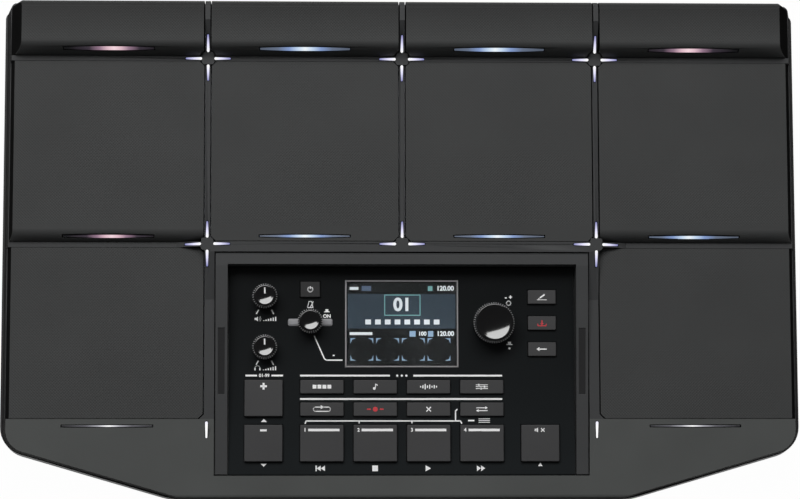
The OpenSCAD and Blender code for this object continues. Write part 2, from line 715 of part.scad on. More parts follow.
// Panel layout: distances of the knobs, buttons and screen from the panel's sides, rear and front
volume_in = 19;
main_volume_drop = 15.9;
phones_volume_drop = 42.9;
knob_x = 48.55;
metronome_drop = 29.2;
value_drop = 30.3;
screen_drop = 30;
power_drop = 11.9;
kit_in = 18.4;
kit_pitch = 23.8;
edit_in = 17;
edit_drop = 15.8;
edit_pitch = 13.9;
function_rise = 16.5;
mode_rise = 34.4;
mode_row_pitch = 11.9;
volume_x = -panel_w / 2 + volume_in;
main_volume_at = [volume_x, panel_back - main_volume_drop];
phones_volume_at = [volume_x, panel_back - phones_volume_drop];
metronome_at = [-knob_x, panel_back - metronome_drop];
value_at = [knob_x, panel_back - value_drop];
screen_at = [0, panel_back - screen_drop];
kit_x = panel_w / 2 - kit_in;
edit_x = panel_w / 2 - edit_in;
function_v = panel_front + function_rise;
mode_v = [for (r = [1, 0]) panel_front + mode_rise + r * mode_row_pitch];
function column(c) = (c - 1.5) * mode_pitch;
buttons = concat(
    [["power_button", -knob_x, panel_back - power_drop, power_w, power_d, small_h]],
    [for (i = [0 : 2]) [["edit_button", "write_button", "exit_button"][i],
        edit_x, panel_back - edit_drop - i * edit_pitch, edit_w, edit_d, small_h]],
    [for (r = [0, 1], c = [0 : 3])
        [str("mode_button_", 4 * r + c + 1), column(c), mode_v[r], mode_w, mode_d, small_h]],
    [["kit_plus_button", -kit_x, function_v + kit_pitch, kit_w, large_d, large_h]],
    [["kit_minus_button", -kit_x, function_v, kit_w, large_d, large_h]],
    [for (c = [0 : 3]) [str("function_button_", c + 1), column(c), function_v, mode_w, large_d, large_h]],
    [["shift_button", kit_x, function_v, kit_w, large_d, large_h]]);

shafts = [main_volume_at, phones_volume_at, metronome_at, value_at];
shaft_hole_r = shaft_r + 0.7;
lamp_h = 1.1;
lamp_under = panel_level + guide_proud - lamp_h;
module control_panel() color([0.03, 0.032, 0.035]) deck() difference() {
    block(0, panel_mid, panel_w, panel_d, [ledge, panel_level]);
    for (b = buttons) block(b[1], b[2], b[3] + 2 * button_clear, b[4] + 2 * button_clear, [0, clear_h]);
    for (s = shafts) at(s.x, s.y, 0) cylinder(r = shaft_hole_r, h = clear_h);
    block(screen_at.x, screen_at.y, screen_w + fit, screen_d + fit, [0, clear_h]);
    block(metronome_at.x, metronome_at.y, lamp_l + fit, lamp_w + fit, [lamp_under, clear_h]);
}
module metronome_lamp() color([0.5, 0.5, 0.5]) deck() difference() {
    block(metronome_at.x, metronome_at.y, lamp_l, lamp_w, [lamp_under, lamp_under + lamp_h]);
    at(metronome_at.x, metronome_at.y, 0) cylinder(r = shaft_hole_r, h = clear_h);
}

window_t = 2.2;
// Margin of the screen module round its window
module_margin = 2.2;
window_under = panel_level - screen_recess - window_t;
module display_window() color([0.05, 0.06, 0.07, 0.6]) deck()
    block(screen_at.x, screen_at.y, screen_w, screen_d, [window_under, panel_level - screen_recess]);
module display_module() color([0.3, 0.32, 0.34]) deck() {
    m = 2 * module_margin;
    block(screen_at.x, screen_at.y, screen_w + m, screen_d + m, [board_top, window_under]);
}

board_over = 3;
board_in = 2;
module panel_board() color([0.05, 0.25, 0.12]) deck() difference() {
    block(0, panel_mid, panel_w + 2 * board_over, panel_d - 2 * board_in, [board_under, board_top]);
    for (p = board_screws) at(p.x, p.y, 0) cylinder(r = screw_r + screw_clear, h = board_depth);
}
switch_w = 6;
switch_h = 3.4;
plunger_h = 0.5;
flange_h = 0.8;
flange_w = 1;
flange_gap = 0.15;
stem_r = 1.5;
stem_gap = 0.2;
stem_end = board_top + switch_h + plunger_h + button_travel + stem_gap;
module tact_switches() color([0.12, 0.12, 0.13]) deck() for (b = buttons) {
    block(b[1], b[2], switch_w, switch_w, [board_top, board_top + switch_h]);
    at(b[1], b[2], board_top) cylinder(r = stem_r, h = switch_h + plunger_h);
}
module panel_button(b) color([0.2, 0.2, 0.2]) deck() {
    flange = ledge - flange_gap;
    block(b[1], b[2], b[3], b[4], [flange - flange_h, panel_level + b[5]]);
    block(b[1], b[2], b[3] + 2 * flange_w, b[4] + 2 * flange_w, [flange - flange_h, flange]);
    at(b[1], b[2], stem_end) cylinder(r = stem_r, h = ledge - stem_end);
}

pot_w = 10.5;
encoder_w = 12;
pot_h = 5.6;
// Floor left under each shaft's bearing hole
bearing_floor = 0.4;
knob_lift = 0.5;
shaft_end_gap = 0.3;
module rotary_bodies(places, size) deck() for (s = places) difference() {
    block(s.x, s.y, size, size, [board_top, board_top + pot_h]);
    at(s.x, s.y, board_top + bearing_floor) cylinder(r = shaft_r + shaft_clear, h = pot_h);
}
module volume_pots() color([0.3, 0.32, 0.35]) rotary_bodies([main_volume_at, phones_volume_at], pot_w);
module push_encoders() color([0.35, 0.36, 0.3]) rotary_bodies([metronome_at, value_at], encoder_w);

// A shaft stands on its bearing's floor, or above it by the travel of a knob that can be pushed
module knob_shaft(place, knob_height, push) color([0.7, 0.7, 0.72]) deck() {
    from = board_top + bearing_floor + push + shaft_end_gap;
    to = panel_level + knob_lift + push + knob_height - knob_wall - shaft_end_gap;
    at(place.x, place.y, from) cylinder(r = shaft_r, h = to - from);
}
knob_wall = 2.6;
knob_land = 0.8;
knob_edge = 0.3;
// Part of a knob's height below its slope, and steps in the round dish on its top
knob_skirt = 0.72;
bowl_steps = 6;
module knob(place, radius, height, push, dish) color([0.06, 0.06, 0.065]) deck()
    at(place.x, place.y, panel_level + knob_lift + push) difference() {
        top = radius - knob_rim;
        bowl = top - knob_land;
        rotate_extrude() polygon(concat(
            [[0, 0], [radius, 0], [radius, height * knob_skirt], [top, height - knob_edge],
             [top - knob_edge, height]],
            [for (i = [0 : bowl_steps]) let (t = 1 - i / bowl_steps)
                [bowl * t, height - dish * (1 - t * t)]]));
        translate([0, 0, -1]) cylinder(r = shaft_r + shaft_clear, h = height - knob_wall + 1);
    }
knobs = [
    ["main_volume", main_volume_at, knob_r, knob_h, 0, knob_dish],
    ["phones_volume", phones_volume_at, knob_r, knob_h, 0, knob_dish],
    ["metronome", metronome_at, knob_r, knob_h, push_travel, knob_dish],
    ["value", value_at, value_r, value_h, push_travel, value_dish]];

module main_board() color([0.05, 0.25, 0.12]) translate([0, body_y, 0]) difference() {
    box([-main_x, main_x], main_y, [main_z, main_z + board_t]);
    for (p = main_posts) translate([p.x, p.y, 0]) cylinder(r = screw_r + screw_clear, h = clear_h);
}
jack_body = [15, 25, 14];
jack_depth = 24;
module jack_sockets() color([0.1, 0.1, 0.1]) for (x = jack_x) difference() {
    union() {
        translate([x - jack_body.x / 2, inner_y - jack_body.y, socket_z]) cube(jack_body);
        translate([x, inner_y - 1, jack_z]) rotate([-90, 0, 0])
            cylinder(r = neck_r, h = wall_t + neck_out + 1);
    }
    translate([x, outer_y + neck_out + 1, jack_z]) rotate([90, 0, 0]) cylinder(r = jack_r, h = jack_depth);
}
module jack_nuts() color([0.65, 0.65, 0.67]) for (x = jack_x)
    translate([x, outer_y + nut_t, jack_z]) rotate([90, 0, 0]) difference() {
        cylinder(r = nut_r, h = nut_t, $fn = 6);
        translate([0, 0, -1]) cylinder(r = neck_r + socket_clear, h = nut_t + 2);
    }
socket_l = 16;
usb_mouth = [8.6, 7.9];
usb_tongue = [5.6, 3.2];
power_mouth_r = 3.2;
power_pin_r = 1.05;
mouth_l = 9.5;
module power_usb_sockets() color([0.16, 0.16, 0.17]) {
    translate([usb_x, outer_y - socket_l, socket_z + usb_size.y / 2]) {
        difference() {
            translate([-usb_size.x / 2, 0, -usb_size.y / 2]) cube([usb_size.x, socket_l, usb_size.y]);
            translate([-usb_mouth.x / 2, socket_l - mouth_l, -usb_mouth.y / 2])
                cube([usb_mouth.x, mouth_l + 1, usb_mouth.y]);
        }
        translate([-usb_tongue.x / 2, 1, -usb_tongue.y / 2])
            cube([usb_tongue.x, socket_l - 2, usb_tongue.y]);
    }
    translate([power_x, outer_y - socket_l, socket_z + power_size.y / 2]) {
        difference() {
            translate([-power_size.x / 2, 0, -power_size.y / 2])
                cube([power_size.x, socket_l, power_size.y]);
            translate([0, socket_l - mouth_l, 0]) rotate([-90, 0, 0])
                cylinder(r = power_mouth_r, h = mouth_l + 1);
        }
        translate([0, 1, 0]) rotate([-90, 0, 0]) cylinder(r = power_pin_r, h = socket_l - 2);
    }
}

// Flat cables: one from the main board up to the panel board, one up to the sensor plates
ribbon_t = 0.8;
ribbon_w = 30;
ribbon_gap = 0.3;
panel_ribbon_end = 14;
panel_ribbon_in = 12;
sensor_ribbon_in = 30;
sensor_ribbon_end = 22;
sensor_ribbon_l = 12;
function deck_z(y, w) = part_h + (y - body_y) * tan(deck_tilt) + w / cos(deck_tilt);
module ribbon(x, y_end, y_rise, w_end) {
    top = deck_z(min(y_rise, y_rise - ribbon_t), w_end) - ribbon_gap;
    along_x(x - ribbon_w / 2, x + ribbon_w / 2) polygon([
        [y_end, socket_z], [y_end, socket_z + ribbon_t], [y_rise, socket_z + ribbon_t], [y_rise, top],
        [y_rise - ribbon_t, top], [y_rise - ribbon_t, socket_z]]);
}
module ribbon_cables() color([0.75, 0.75, 0.73]) {
    sensor_y = main_y[0] + sensor_ribbon_end;
    ribbon(0, main_y[0] + panel_ribbon_end, panel_back - panel_ribbon_in, board_under);
    ribbon(main_x - sensor_ribbon_in, sensor_y, sensor_y - sensor_ribbon_l, upper_plate - plate_t);
}

foot_edge = 1.5;
foot_dish = 1;
module rubber_feet() color([0.05, 0.05, 0.05]) for (p = foot_at) stand(p, 0)
    rotate_extrude() polygon([
        [0, foot_dish], [foot_r * 0.45, foot_dish], [foot_r * 0.55, 0], [foot_r - foot_edge, 0],
        [foot_r, foot_edge], [foot_r, foot_h], [0, foot_h]]);
module stand_inserts() color([0.75, 0.6, 0.3]) for (p = stand_at) stand(p, foot_h) difference() {
    cylinder(r = insert_r, h = insert_l);
    translate([0, 0, -1]) cylinder(r = insert_bore_r, h = insert_l + 2);
}
module screw(length) {
    translate([0, 0, -screw_head_h]) cylinder(r = screw_head_r, h = screw_head_h);
    translate([0, 0, -0.1]) cylinder(r = screw_r, h = length + 0.1);
}
module screws() color([0.25, 0.25, 0.26]) {
    for (p = case_screws) stand(p, joint_z(p.y) - head_depth) screw(shank_l);
    deck() for (p = board_screws) at(p.x, p.y, board_under) screw(board_shank_l);
    for (p = main_posts) stand(p, main_z + board_t) mirror([0, 0, 1]) screw(main_shank_l);
}

bottom_case();
top_case();
panel_bezel();
control_panel();
display_window();
display_module();
pad_light_bars();
cross_light_guides();
pad_base_plates();
pressure_sensors();
panel_board();
tact_switches();
volume_pots();
push_encoders();
metronome_lamp();
main_board();
jack_sockets();
jack_nuts();
power_usb_sockets();
ribbon_cables();
rubber_feet();
screws();
stand_inserts();
for (p = pads) pad(p[1], p[2]);
for (b = buttons) panel_button(b);
for (k = knobs) knob_shaft(k[1], k[3], k[4]);
for (k = knobs) knob(k[1], k[2], k[3], k[4], k[5]);
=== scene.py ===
import json
from math import atan2, cos, pi, radians, sin

import bpy
from mathutils import Matrix, Vector


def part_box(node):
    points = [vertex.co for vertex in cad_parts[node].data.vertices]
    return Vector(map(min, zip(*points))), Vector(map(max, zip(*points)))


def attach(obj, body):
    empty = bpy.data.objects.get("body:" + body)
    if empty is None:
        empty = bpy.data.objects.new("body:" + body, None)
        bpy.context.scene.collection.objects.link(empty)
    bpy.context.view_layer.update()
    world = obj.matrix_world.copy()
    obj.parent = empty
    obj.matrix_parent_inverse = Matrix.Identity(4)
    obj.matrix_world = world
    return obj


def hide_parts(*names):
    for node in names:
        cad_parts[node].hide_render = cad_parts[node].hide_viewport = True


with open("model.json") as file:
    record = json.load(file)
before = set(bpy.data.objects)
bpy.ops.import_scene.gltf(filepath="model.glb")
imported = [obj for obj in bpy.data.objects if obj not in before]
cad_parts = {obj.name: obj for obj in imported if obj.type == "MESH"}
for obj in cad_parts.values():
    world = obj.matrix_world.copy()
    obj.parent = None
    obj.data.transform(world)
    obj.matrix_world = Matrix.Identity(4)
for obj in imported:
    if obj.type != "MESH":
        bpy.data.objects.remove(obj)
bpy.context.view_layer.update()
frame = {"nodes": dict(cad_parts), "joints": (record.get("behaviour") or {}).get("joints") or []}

# Studio. A long-lens camera looks almost straight down on the instrument, which stands on a white
# floor. A broad soft light stands behind and above its rear pads, a slim weak one before it.
view_settings = bpy.context.scene.view_settings
view_settings.view_transform = "Standard"

camera_distance = 1.5
camera_azimuth = radians(-9.39)
camera_elevation = radians(78.51)
camera_roll = radians(9.31)
camera_aim = Vector((-0.00084, -0.00164, 0.040))
focal_px = 2817.9
image_w_px = 800
sensor_w_mm = 36

camera_back = Vector((
    sin(camera_azimuth) * cos(camera_elevation),
    -cos(camera_azimuth) * cos(camera_elevation),
    sin(camera_elevation)))
level_right = Vector((cos(camera_azimuth), sin(camera_azimuth), 0))
level_up = camera_back.cross(level_right)
camera_right = level_right * cos(camera_roll) + level_up * sin(camera_roll)
camera_up = camera_back.cross(camera_right)
bpy.ops.object.select_all(action="DESELECT")
bpy.ops.object.camera_add()
camera = bpy.context.object
camera.name = "photo_camera"
camera.data.sensor_width = sensor_w_mm
camera.data.lens = sensor_w_mm * focal_px / image_w_px
camera.matrix_world = (
    Matrix.Translation(camera_aim + camera_back * camera_distance)
    @ Matrix((camera_right, camera_up, camera_back)).transposed().to_4x4())
bpy.context.scene.camera = camera

light_aim = Vector((0, 0, 0.04))


def softbox(name, place, size, watts):
    """A rectangular soft light at a place, turned towards the instrument."""
    bpy.ops.object.light_add(type="AREA", location=place)
    light = bpy.context.object
    light.name = name
    light.rotation_euler = (Vector(place) - light_aim).to_track_quat("Z", "Y").to_euler()
    light.data.shape = "RECTANGLE"
    light.data.size, light.data.size_y = size
    light.data.energy = watts


softbox("rear_softbox", (-0.4, 1.28, 2.4), (2.9, 1.2), 66)
softbox("front_strip", (0, -1.3, 1.3), (1.2, 0.2), 1.6)


def add_node(tree, kind, feeds=(), **settings):
    """Adds a node with its settings to a finish, and feeds its inputs with sockets or plain values."""
    node = tree.nodes.new(kind)
    for name, value in settings.items():
        setattr(node, name, value)
    for name, value in dict(feeds).items():
        if isinstance(value, bpy.types.NodeSocket):
            tree.links.new(value, node.inputs[name])
        else:
            node.inputs[name].default_value = value
    return node


def add_math(tree, operation, *feeds):
    """Adds a Math node fed with sockets or numbers, and gives its result."""
    return add_node(tree, "ShaderNodeMath", enumerate(feeds), operation=operation).outputs[0]


floor_size = 12
floor_pale = (0.6, 0.6, 0.6, 1)
floor_glow = 0.985
bpy.ops.mesh.primitive_plane_add(size=floor_size)
floor = bpy.context.object
floor.name = "studio_floor"
floor_paper = bpy.data.materials.new("floor_paper")
floor_paper.use_nodes = True
paper = floor_paper.node_tree
paper_shader = paper.nodes["Principled BSDF"]
paper_shader.inputs["Base Color"].default_value = floor_pale
paper_shader.inputs["Roughness"].default_value = 0.9
paper_shader.inputs["Specular IOR Level"].default_value = 0.1
paper_path = add_node(paper, "ShaderNodeLightPath").outputs
paper_seen = add_math(paper, "MAXIMUM", paper_path["Is Camera Ray"], paper_path["Is Glossy Ray"])
paper_through = add_math(paper, "MAXIMUM", paper_seen, paper_path["Is Transmission Ray"])
paper_glow = add_node(paper, "ShaderNodeEmission")
paper_mix = add_node(paper, "ShaderNodeMixShader", {
    "Fac": add_math(paper, "MULTIPLY", paper_through, floor_glow),
    1: paper_shader.outputs[0], 2: paper_glow.outputs[0]})
paper.links.new(paper_mix.outputs[0], paper.nodes["Material Output"].inputs["Surface"])
floor.data.materials.append(floor_paper)

room_fill = 0.05
room = bpy.data.worlds.new("studio_room")
bpy.context.scene.world = room
room.use_nodes = True
room_path = add_node(room.node_tree, "ShaderNodeLightPath")
room_light = add_node(room.node_tree, "ShaderNodeMix", {
    "Factor": room_path.outputs["Is Camera Ray"], "A": room_fill, "B": 1})
room_wall = room.node_tree.nodes["Background"]
room_wall.inputs["Color"].default_value = (1, 1, 1, 1)
room.node_tree.links.new(room_light.outputs["Result"], room_wall.inputs["Strength"])


# Lower housing. One deep tray moulded in black plastic with a fine grain, which carries the boards,
# the posts for the pads' plates and the rear sockets. Screws from below hold the upper housing to it.
def level(red, green, blue):
    """A colour given in screen levels from 0 to 255, in the linear values that shaders take."""
    shares = [c / 255 for c in (red, green, blue)]
    return (*[s / 12.92 if s < 0.04 else ((s + 0.055) / 1.055) ** 2.4 for s in shares], 1)


patch_scale, patch_darkest, patch_lightest = 22, 0.93, 1.07
grain_strength = 0.6
grain_group = bpy.data.node_groups.new("moulded_grain", "ShaderNodeTree")
for socket, way, kind in (("Vector", "INPUT", "Vector"), ("Fineness", "INPUT", "Float"),
                          ("Height", "OUTPUT", "Float"), ("Tone", "OUTPUT", "Float")):
    grain_group.interface.new_socket(socket, in_out=way, socket_type=f"NodeSocket{kind}")
grain_in = add_node(grain_group, "NodeGroupInput").outputs
grain_cells = add_node(grain_group, "ShaderNodeTexNoise", {
    "Vector": grain_in["Vector"], "Scale": grain_in["Fineness"], "Detail": 3})
grain_patches = add_node(grain_group, "ShaderNodeTexNoise", {
    "Vector": grain_in["Vector"], "Scale": patch_scale, "Detail": 2})
grain_tone = add_node(grain_group, "ShaderNodeMapRange", {
    "Value": grain_patches.outputs["Fac"], "From Min": 0.3, "From Max": 0.7,
    "To Min": patch_darkest, "To Max": patch_lightest})
add_node(grain_group, "NodeGroupOutput", {
    "Height": grain_cells.outputs["Fac"], "Tone": grain_tone.outputs["Result"]})


def grained(name, colour, roughness, fineness=1500, depth=0.00006, metallic=0.0, shine=0.5):
    """A finish with a fine moulded or cast grain, its colour a little uneven over the surface."""
    finish = bpy.data.materials.new(name)
    finish.use_nodes = True
    tree = finish.node_tree
    shader = tree.nodes["Principled BSDF"]
    shader.inputs["Roughness"].default_value = roughness
    shader.inputs["Metallic"].default_value = metallic
    shader.inputs["Specular IOR Level"].default_value = shine
    place = add_node(tree, "ShaderNodeTexCoord")
    grain = add_node(tree, "ShaderNodeGroup", {
        "Vector": place.outputs["Object"], "Fineness": fineness}, node_tree=grain_group, name="grain")
    tint = add_node(tree, "ShaderNodeVectorMath", {
        0: colour[:3], "Scale": grain.outputs["Tone"]}, operation="SCALE", name="tint")
    bump = add_node(tree, "ShaderNodeBump", {
        "Strength": grain_strength, "Distance": depth, "Height": grain.outputs["Height"]}, name="bump")
    tree.links.new(tint.outputs["Vector"], shader.inputs["Base Color"])
    tree.links.new(bump.outputs["Normal"], shader.inputs["Normal"])
    return finish


def activate(piece):
    """Leaves one piece selected and active, for the operators that follow."""
    bpy.ops.object.select_all(action="DESELECT")
    piece.select_set(True)
    bpy.context.view_layer.objects.active = piece


def applied(piece, kind, **settings):
    """Adds a modifier with its settings to a piece and applies it."""
    modifier = piece.modifiers.new(kind.lower(), kind)
    for name, value in settings.items():
        setattr(modifier, name, value)
    activate(piece)
    bpy.ops.object.modifier_apply(modifier=modifier.name)


edge_steps = 3
smooth_turn = radians(40)
weld_gap = 0.000005
level_turn = radians(0.5)


def smoothed(piece, edge, sharp=30, flat=0):
    """Rounds a piece's sharp edges, if asked, and shades it smooth, but flat on faces over an area."""
    if edge:
        applied(piece, "BEVEL", width=edge, segments=edge_steps, limit_method="ANGLE",
                angle_limit=radians(sharp), use_clamp_overlap=False, miter_outer="MITER_ARC")
    activate(piece)
    bpy.ops.object.shade_smooth_by_angle(angle=smooth_turn)
    if flat:
        for face in piece.data.polygons:
            face.use_smooth = face.area < flat
    else:
        applied(piece, "WEIGHTED_NORMAL", keep_sharp=True)


def standing_for(node, name, edge, sharp=30, flat=0):
    """A merged copy of a CAD node, with its edges rounded if asked, which stands for that node."""
    piece = bpy.data.objects.new(name, frame["nodes"][node].data.copy())
    bpy.context.scene.collection.objects.link(piece)
    piece.data.materials.clear()
    activate(piece)
    bpy.ops.object.mode_set(mode="EDIT")
    bpy.ops.mesh.select_all(action="SELECT")
    bpy.ops.mesh.remove_doubles(threshold=weld_gap)
    bpy.ops.mesh.dissolve_limited(angle_limit=level_turn)
    bpy.ops.object.mode_set(mode="OBJECT")
    smoothed(piece, edge, sharp, flat)
    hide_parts(node)
    return piece


base_black = grained("base_black", level(22, 22, 23), 0.55)
lower_housing = standing_for("bottom_case", "lower_housing", 0, flat=0.0003)
lower_housing.data.materials.append(base_black)
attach(lower_housing, "housing")

# Feet. Five moulded rubber discs with a dished sole, pressed onto the underside of the lower housing.
# They keep the instrument still on a table while it is struck.
foot_rubber = grained("foot_rubber", level(28, 28, 28), 0.75, fineness=2600, depth=0.00008)
feet = standing_for("rubber_feet", "feet", 0.0004)
feet.data.materials.append(foot_rubber)
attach(feet, "housing")


# Inner works. Boards, switches, potentiometers, plates, films, cables, screws and inserts are the CAD
# pieces themselves. They lie inside the housing or in its underside, and each only gets a finish.
def finished(finish, *nodes):
    """Gives CAD nodes a finish in place of the plain one they come with."""
    for node in nodes:
        slots = frame["nodes"][node].data.materials
        slots.clear()
        slots.append(finish)


finished(grained("board_green", level(22, 84, 52), 0.4, fineness=300, depth=0.00004),
         "panel_board", "main_board")
finished(grained("switch_black", level(46, 46, 48), 0.5), "tact_switches")
finished(grained("stamped_steel", level(168, 170, 174), 0.35, fineness=900, metallic=1.0),
         "volume_pots", "push_encoders", "display_module")
finished(grained("turned_steel", level(190, 190, 192), 0.28, fineness=3200, metallic=1.0),
         "main_volume_shaft", "phones_volume_shaft", "metronome_shaft", "value_shaft")
finished(grained("rolled_plate", level(160, 163, 168), 0.42, fineness=500, metallic=1.0),
         "pad_base_plates")
finished(grained("film_amber", level(196, 148, 60), 0.35, fineness=700, depth=0.00002),
         "pressure_sensors")
finished(grained("cable_grey", level(196, 196, 190), 0.5, fineness=800), "ribbon_cables")
finished(grained("screw_black", level(70, 70, 73), 0.38, fineness=2400, metallic=1.0), "screws")
finished(grained("insert_brass", level(205, 166, 92), 0.3, fineness=2400, metallic=1.0),
         "stand_inserts")

# Rear sockets. Six jack sockets with a threaded neck and a hexagon nut, a data socket and a power
# socket, all soldered to the main board and looking out through the lower housing's rear wall.
jack_sockets = standing_for("jack_sockets", "jack_bodies", 0.0003, sharp=40)
jack_sockets.data.materials.append(grained("socket_black", level(34, 34, 35), 0.45))
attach(jack_sockets, "housing")
jack_nuts = standing_for("jack_nuts", "jack_hex_nuts", 0.0003, sharp=40)
jack_nuts.data.materials.append(
    grained("nickel", level(200, 200, 202), 0.25, fineness=2000, depth=0.00003, metallic=1.0))
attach(jack_nuts, "housing")
port_sockets = standing_for("power_usb_sockets", "port_sockets", 0.0002, sharp=40)
port_sockets.data.materials.append(grained("port_grey", level(58, 58, 60), 0.4))
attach(port_sockets, "housing")

# Upper housing. A plastic moulding with the pockets for the pads, the charcoal strips between them
# and an apron before the lower pads, painted lighter as a painted sheen. Its steep walls, away from
# the crossings, are painted near-black as painted shade, and it closes the lower housing.
# A thin plate lies flush on each crossing of the strips and narrows the gaps at the pads' corners.
strike = next(joint for joint in frame["joints"] if joint["name"] == "rear_pad_1_strike")
deck_tilt = atan2(strike["axis"][1], -strike["axis"][2])
deck = Matrix.Translation((0, -0.0017, 0.0265)) @ Matrix.Rotation(deck_tilt, 4, "X")
side_strip_x = 0.103
strip_row_v = 0.0992
middle_strip_v = 0.0029
crossings = [Vector((x, v)) for x in (-side_strip_x, 0, side_strip_x)
             for v in (middle_strip_v, middle_strip_v + strip_row_v)]
crossing_reach, arm_slot_half = 0.016, 0.0013
wall_steepness = 0.6
apron_rear = -0.088


def on_deck(piece):
    """Turns a piece from the deck's own axes into place on the tilted deck."""
    piece.matrix_world = deck @ piece.matrix_basis
    activate(piece)
    bpy.ops.object.transform_apply(location=True, rotation=True, scale=True)


strip_charcoal = grained("strip_charcoal", level(58, 59, 60), 0.6, fineness=1900, shine=0.35)
wall_painted_shade = grained("wall_painted_shade", level(34, 34, 34), 0.8, fineness=1900, shine=0.02)
# The apron is painted lighter than the strips, as a painted sheen.
apron_painted_sheen = grained("apron_painted_sheen", level(82, 84, 83), 0.6, fineness=1900, shine=0.35)
upper_housing = standing_for("top_case", "upper_housing", 0, flat=0.000008)
for finish in (strip_charcoal, wall_painted_shade, apron_painted_sheen):
    upper_housing.data.materials.append(finish)
# Steep faces away from the crossings are painted near-black as painted shade.
for face in upper_housing.data.polygons:
    place = (deck.inverted() @ face.center).xy
    off = min((place - crossing for crossing in crossings), key=lambda way: way.length)
    at_crossing = off.length < crossing_reach and min(abs(off.x), abs(off.y)) > arm_slot_half
    is_shaded_wall = abs(face.normal.z) < wall_steepness and not at_crossing
    face.material_index = 1 if is_shaded_wall else 2 if face.center.y < apron_rear else 0
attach(upper_housing, "housing")

plate_half, plate_corner = 0.0032, 0.0007
plate_t, plate_proud, plate_reach = 0.0004, 0.00003, 0.0031
housing_places = [deck.inverted() @ vertex.co for vertex in upper_housing.data.vertices]
for i, crossing in enumerate(crossings):
    top = max(place.z for place in housing_places if (place.xy - crossing).length < plate_reach)
    bpy.ops.mesh.primitive_plane_add(
        size=2 * plate_half, location=(crossing.x, crossing.y, top + plate_proud))
    plate = bpy.context.object
    plate.name = f"crossing_plate_{i}"
    applied(plate, "BEVEL", affect="VERTICES", width=plate_corner, segments=1)
    applied(plate, "SOLIDIFY", thickness=plate_t)
    on_deck(plate)
    plate.data.materials.append(strip_charcoal)
    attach(plate, "housing")

# Pads. Ten separate mouldings of dense charcoal rubber with a fine diamond hatch on the playing
# face and a smooth nose at the front edge. Each lies on its sensor film in a pocket of the housing.
pad_charcoal = level(58, 59, 59)
hatch_pitch = 0.0011
hatch_strength = 0.06
hatch_depth, hatch_relief = 0.00012, 0.35
smooth_bands = ((0.0029, 0.0130), (0.1021, 0.1100))
band_blend = 0.0012
# The rear pads are painted darker towards their rear edge, as painted shade on the rounding.
rear_shade_start, rear_shade_end, rear_shade_tone = 0.112, 0.1326, 0.35
side_steepness = 0.75


def deck_axes(tree, middle=Vector()):
    """The place in a finish along the deck's own axes, counted from a point of the deck."""
    place = add_node(tree, "ShaderNodeTexCoord")
    turned = add_node(tree, "ShaderNodeMapping", {
        "Vector": place.outputs["Object"], "Location": deck @ middle, "Rotation": (deck_tilt, 0, 0)},
        vector_type="TEXTURE")
    return add_node(tree, "ShaderNodeSeparateXYZ", {"Vector": turned.outputs["Vector"]}).outputs


pad_rubber = grained("pad_rubber", pad_charcoal, 0.62, fineness=2600, depth=0.00004, shine=0.35)
# The pads' steep sides are painted darker, as painted shade.
side_painted_shade = grained("side_painted_shade", level(26, 26, 26), 0.85, fineness=2600, depth=0.00004, shine=0)
rubber = pad_rubber.node_tree
pad_place = deck_axes(rubber)
across, along = pad_place["X"], pad_place["Y"]
turns = 2 * pi / (hatch_pitch * 2 ** 0.5)
waves = [add_math(rubber, "MULTIPLY", add_math(rubber, way, across, along), turns)
         for way in ("ADD", "SUBTRACT")]
hatch = add_math(rubber, "MAXIMUM", *[add_math(rubber, "SINE", wave) for wave in waves])
for start, end in smooth_bands:
    middle, half = (start + end) / 2, (end - start) / 2
    away = add_math(rubber, "ABSOLUTE", add_math(rubber, "SUBTRACT", along, middle))
    outside = add_node(rubber, "ShaderNodeMapRange", {
        "Value": away, "From Min": half - band_blend, "From Max": half + band_blend})
    hatch = add_math(rubber, "MULTIPLY", hatch, outside.outputs["Result"])
hatch_tone = add_math(rubber, "MULTIPLY_ADD", hatch, hatch_strength, 1 - hatch_strength / 2)
# Painted shade: the tone falls towards the rear edge of the rear pads.
rear_shade = add_node(rubber, "ShaderNodeMapRange", {
    "Value": along, "From Min": rear_shade_start, "From Max": rear_shade_end, "To Min": 1, "To Max": rear_shade_tone})
face_tone = add_math(rubber, "MULTIPLY", hatch_tone, rear_shade.outputs["Result"])
rubber_tone = add_math(rubber, "MULTIPLY", face_tone, rubber.nodes["grain"].outputs["Tone"])
rubber.links.new(rubber_tone, rubber.nodes["tint"].inputs["Scale"])
hatch_bump = add_node(rubber, "ShaderNodeBump", {
    "Strength": hatch_relief, "Distance": hatch_depth, "Height": hatch})
rubber.links.new(hatch_bump.outputs["Normal"], rubber.nodes["bump"].inputs["Normal"])

pad_names = [f"{row}_pad_{n}" for row in ("rear", "upper") for n in (1, 2, 3, 4)]
pad_names += ["lower_pad_left", "lower_pad_right"]
for pad_name in pad_names:
    pad = standing_for(pad_name, f"{pad_name}_rubber", 0.00015, sharp=40)
    pad.data.materials.append(pad_rubber)
    pad.data.materials.append(side_painted_shade)
    # Steep side faces get the darker painted shade.
    for face in pad.data.polygons:
        face.material_index = 1 if abs(face.normal.x) > side_steepness else 0
    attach(pad, pad_name)

# Light bars. Ten slim spindles of milky plastic over coloured diodes, one in the nose of each rear
# and upper pad and one in the apron before each lower pad. They glow in the middle and fade out.
bar_milk = level(30, 30, 33)
bar_fade = 0.024
# A light guide's edge and sides are painted near-black, as painted shade round its glow.
guide_edge_shade = grained("guide_edge_shade", level(10, 10, 11), 0.8, fineness=900, depth=0.00002, shine=0)
upward_least, shade_turn = 0.5, 0.95


def sleeved(guide):
    """Leaves only a light guide's top lit, with its edge and sides painted near-black as painted shade."""
    guide.data.materials.append(guide_edge_shade)
    upward = [face for face in guide.data.polygons if face.normal.z > upward_least]
    top = max(upward, key=lambda face: face.area).normal.copy()
    for face in guide.data.polygons:
        face.material_index = 1 if face.normal.dot(top) < shade_turn else 0


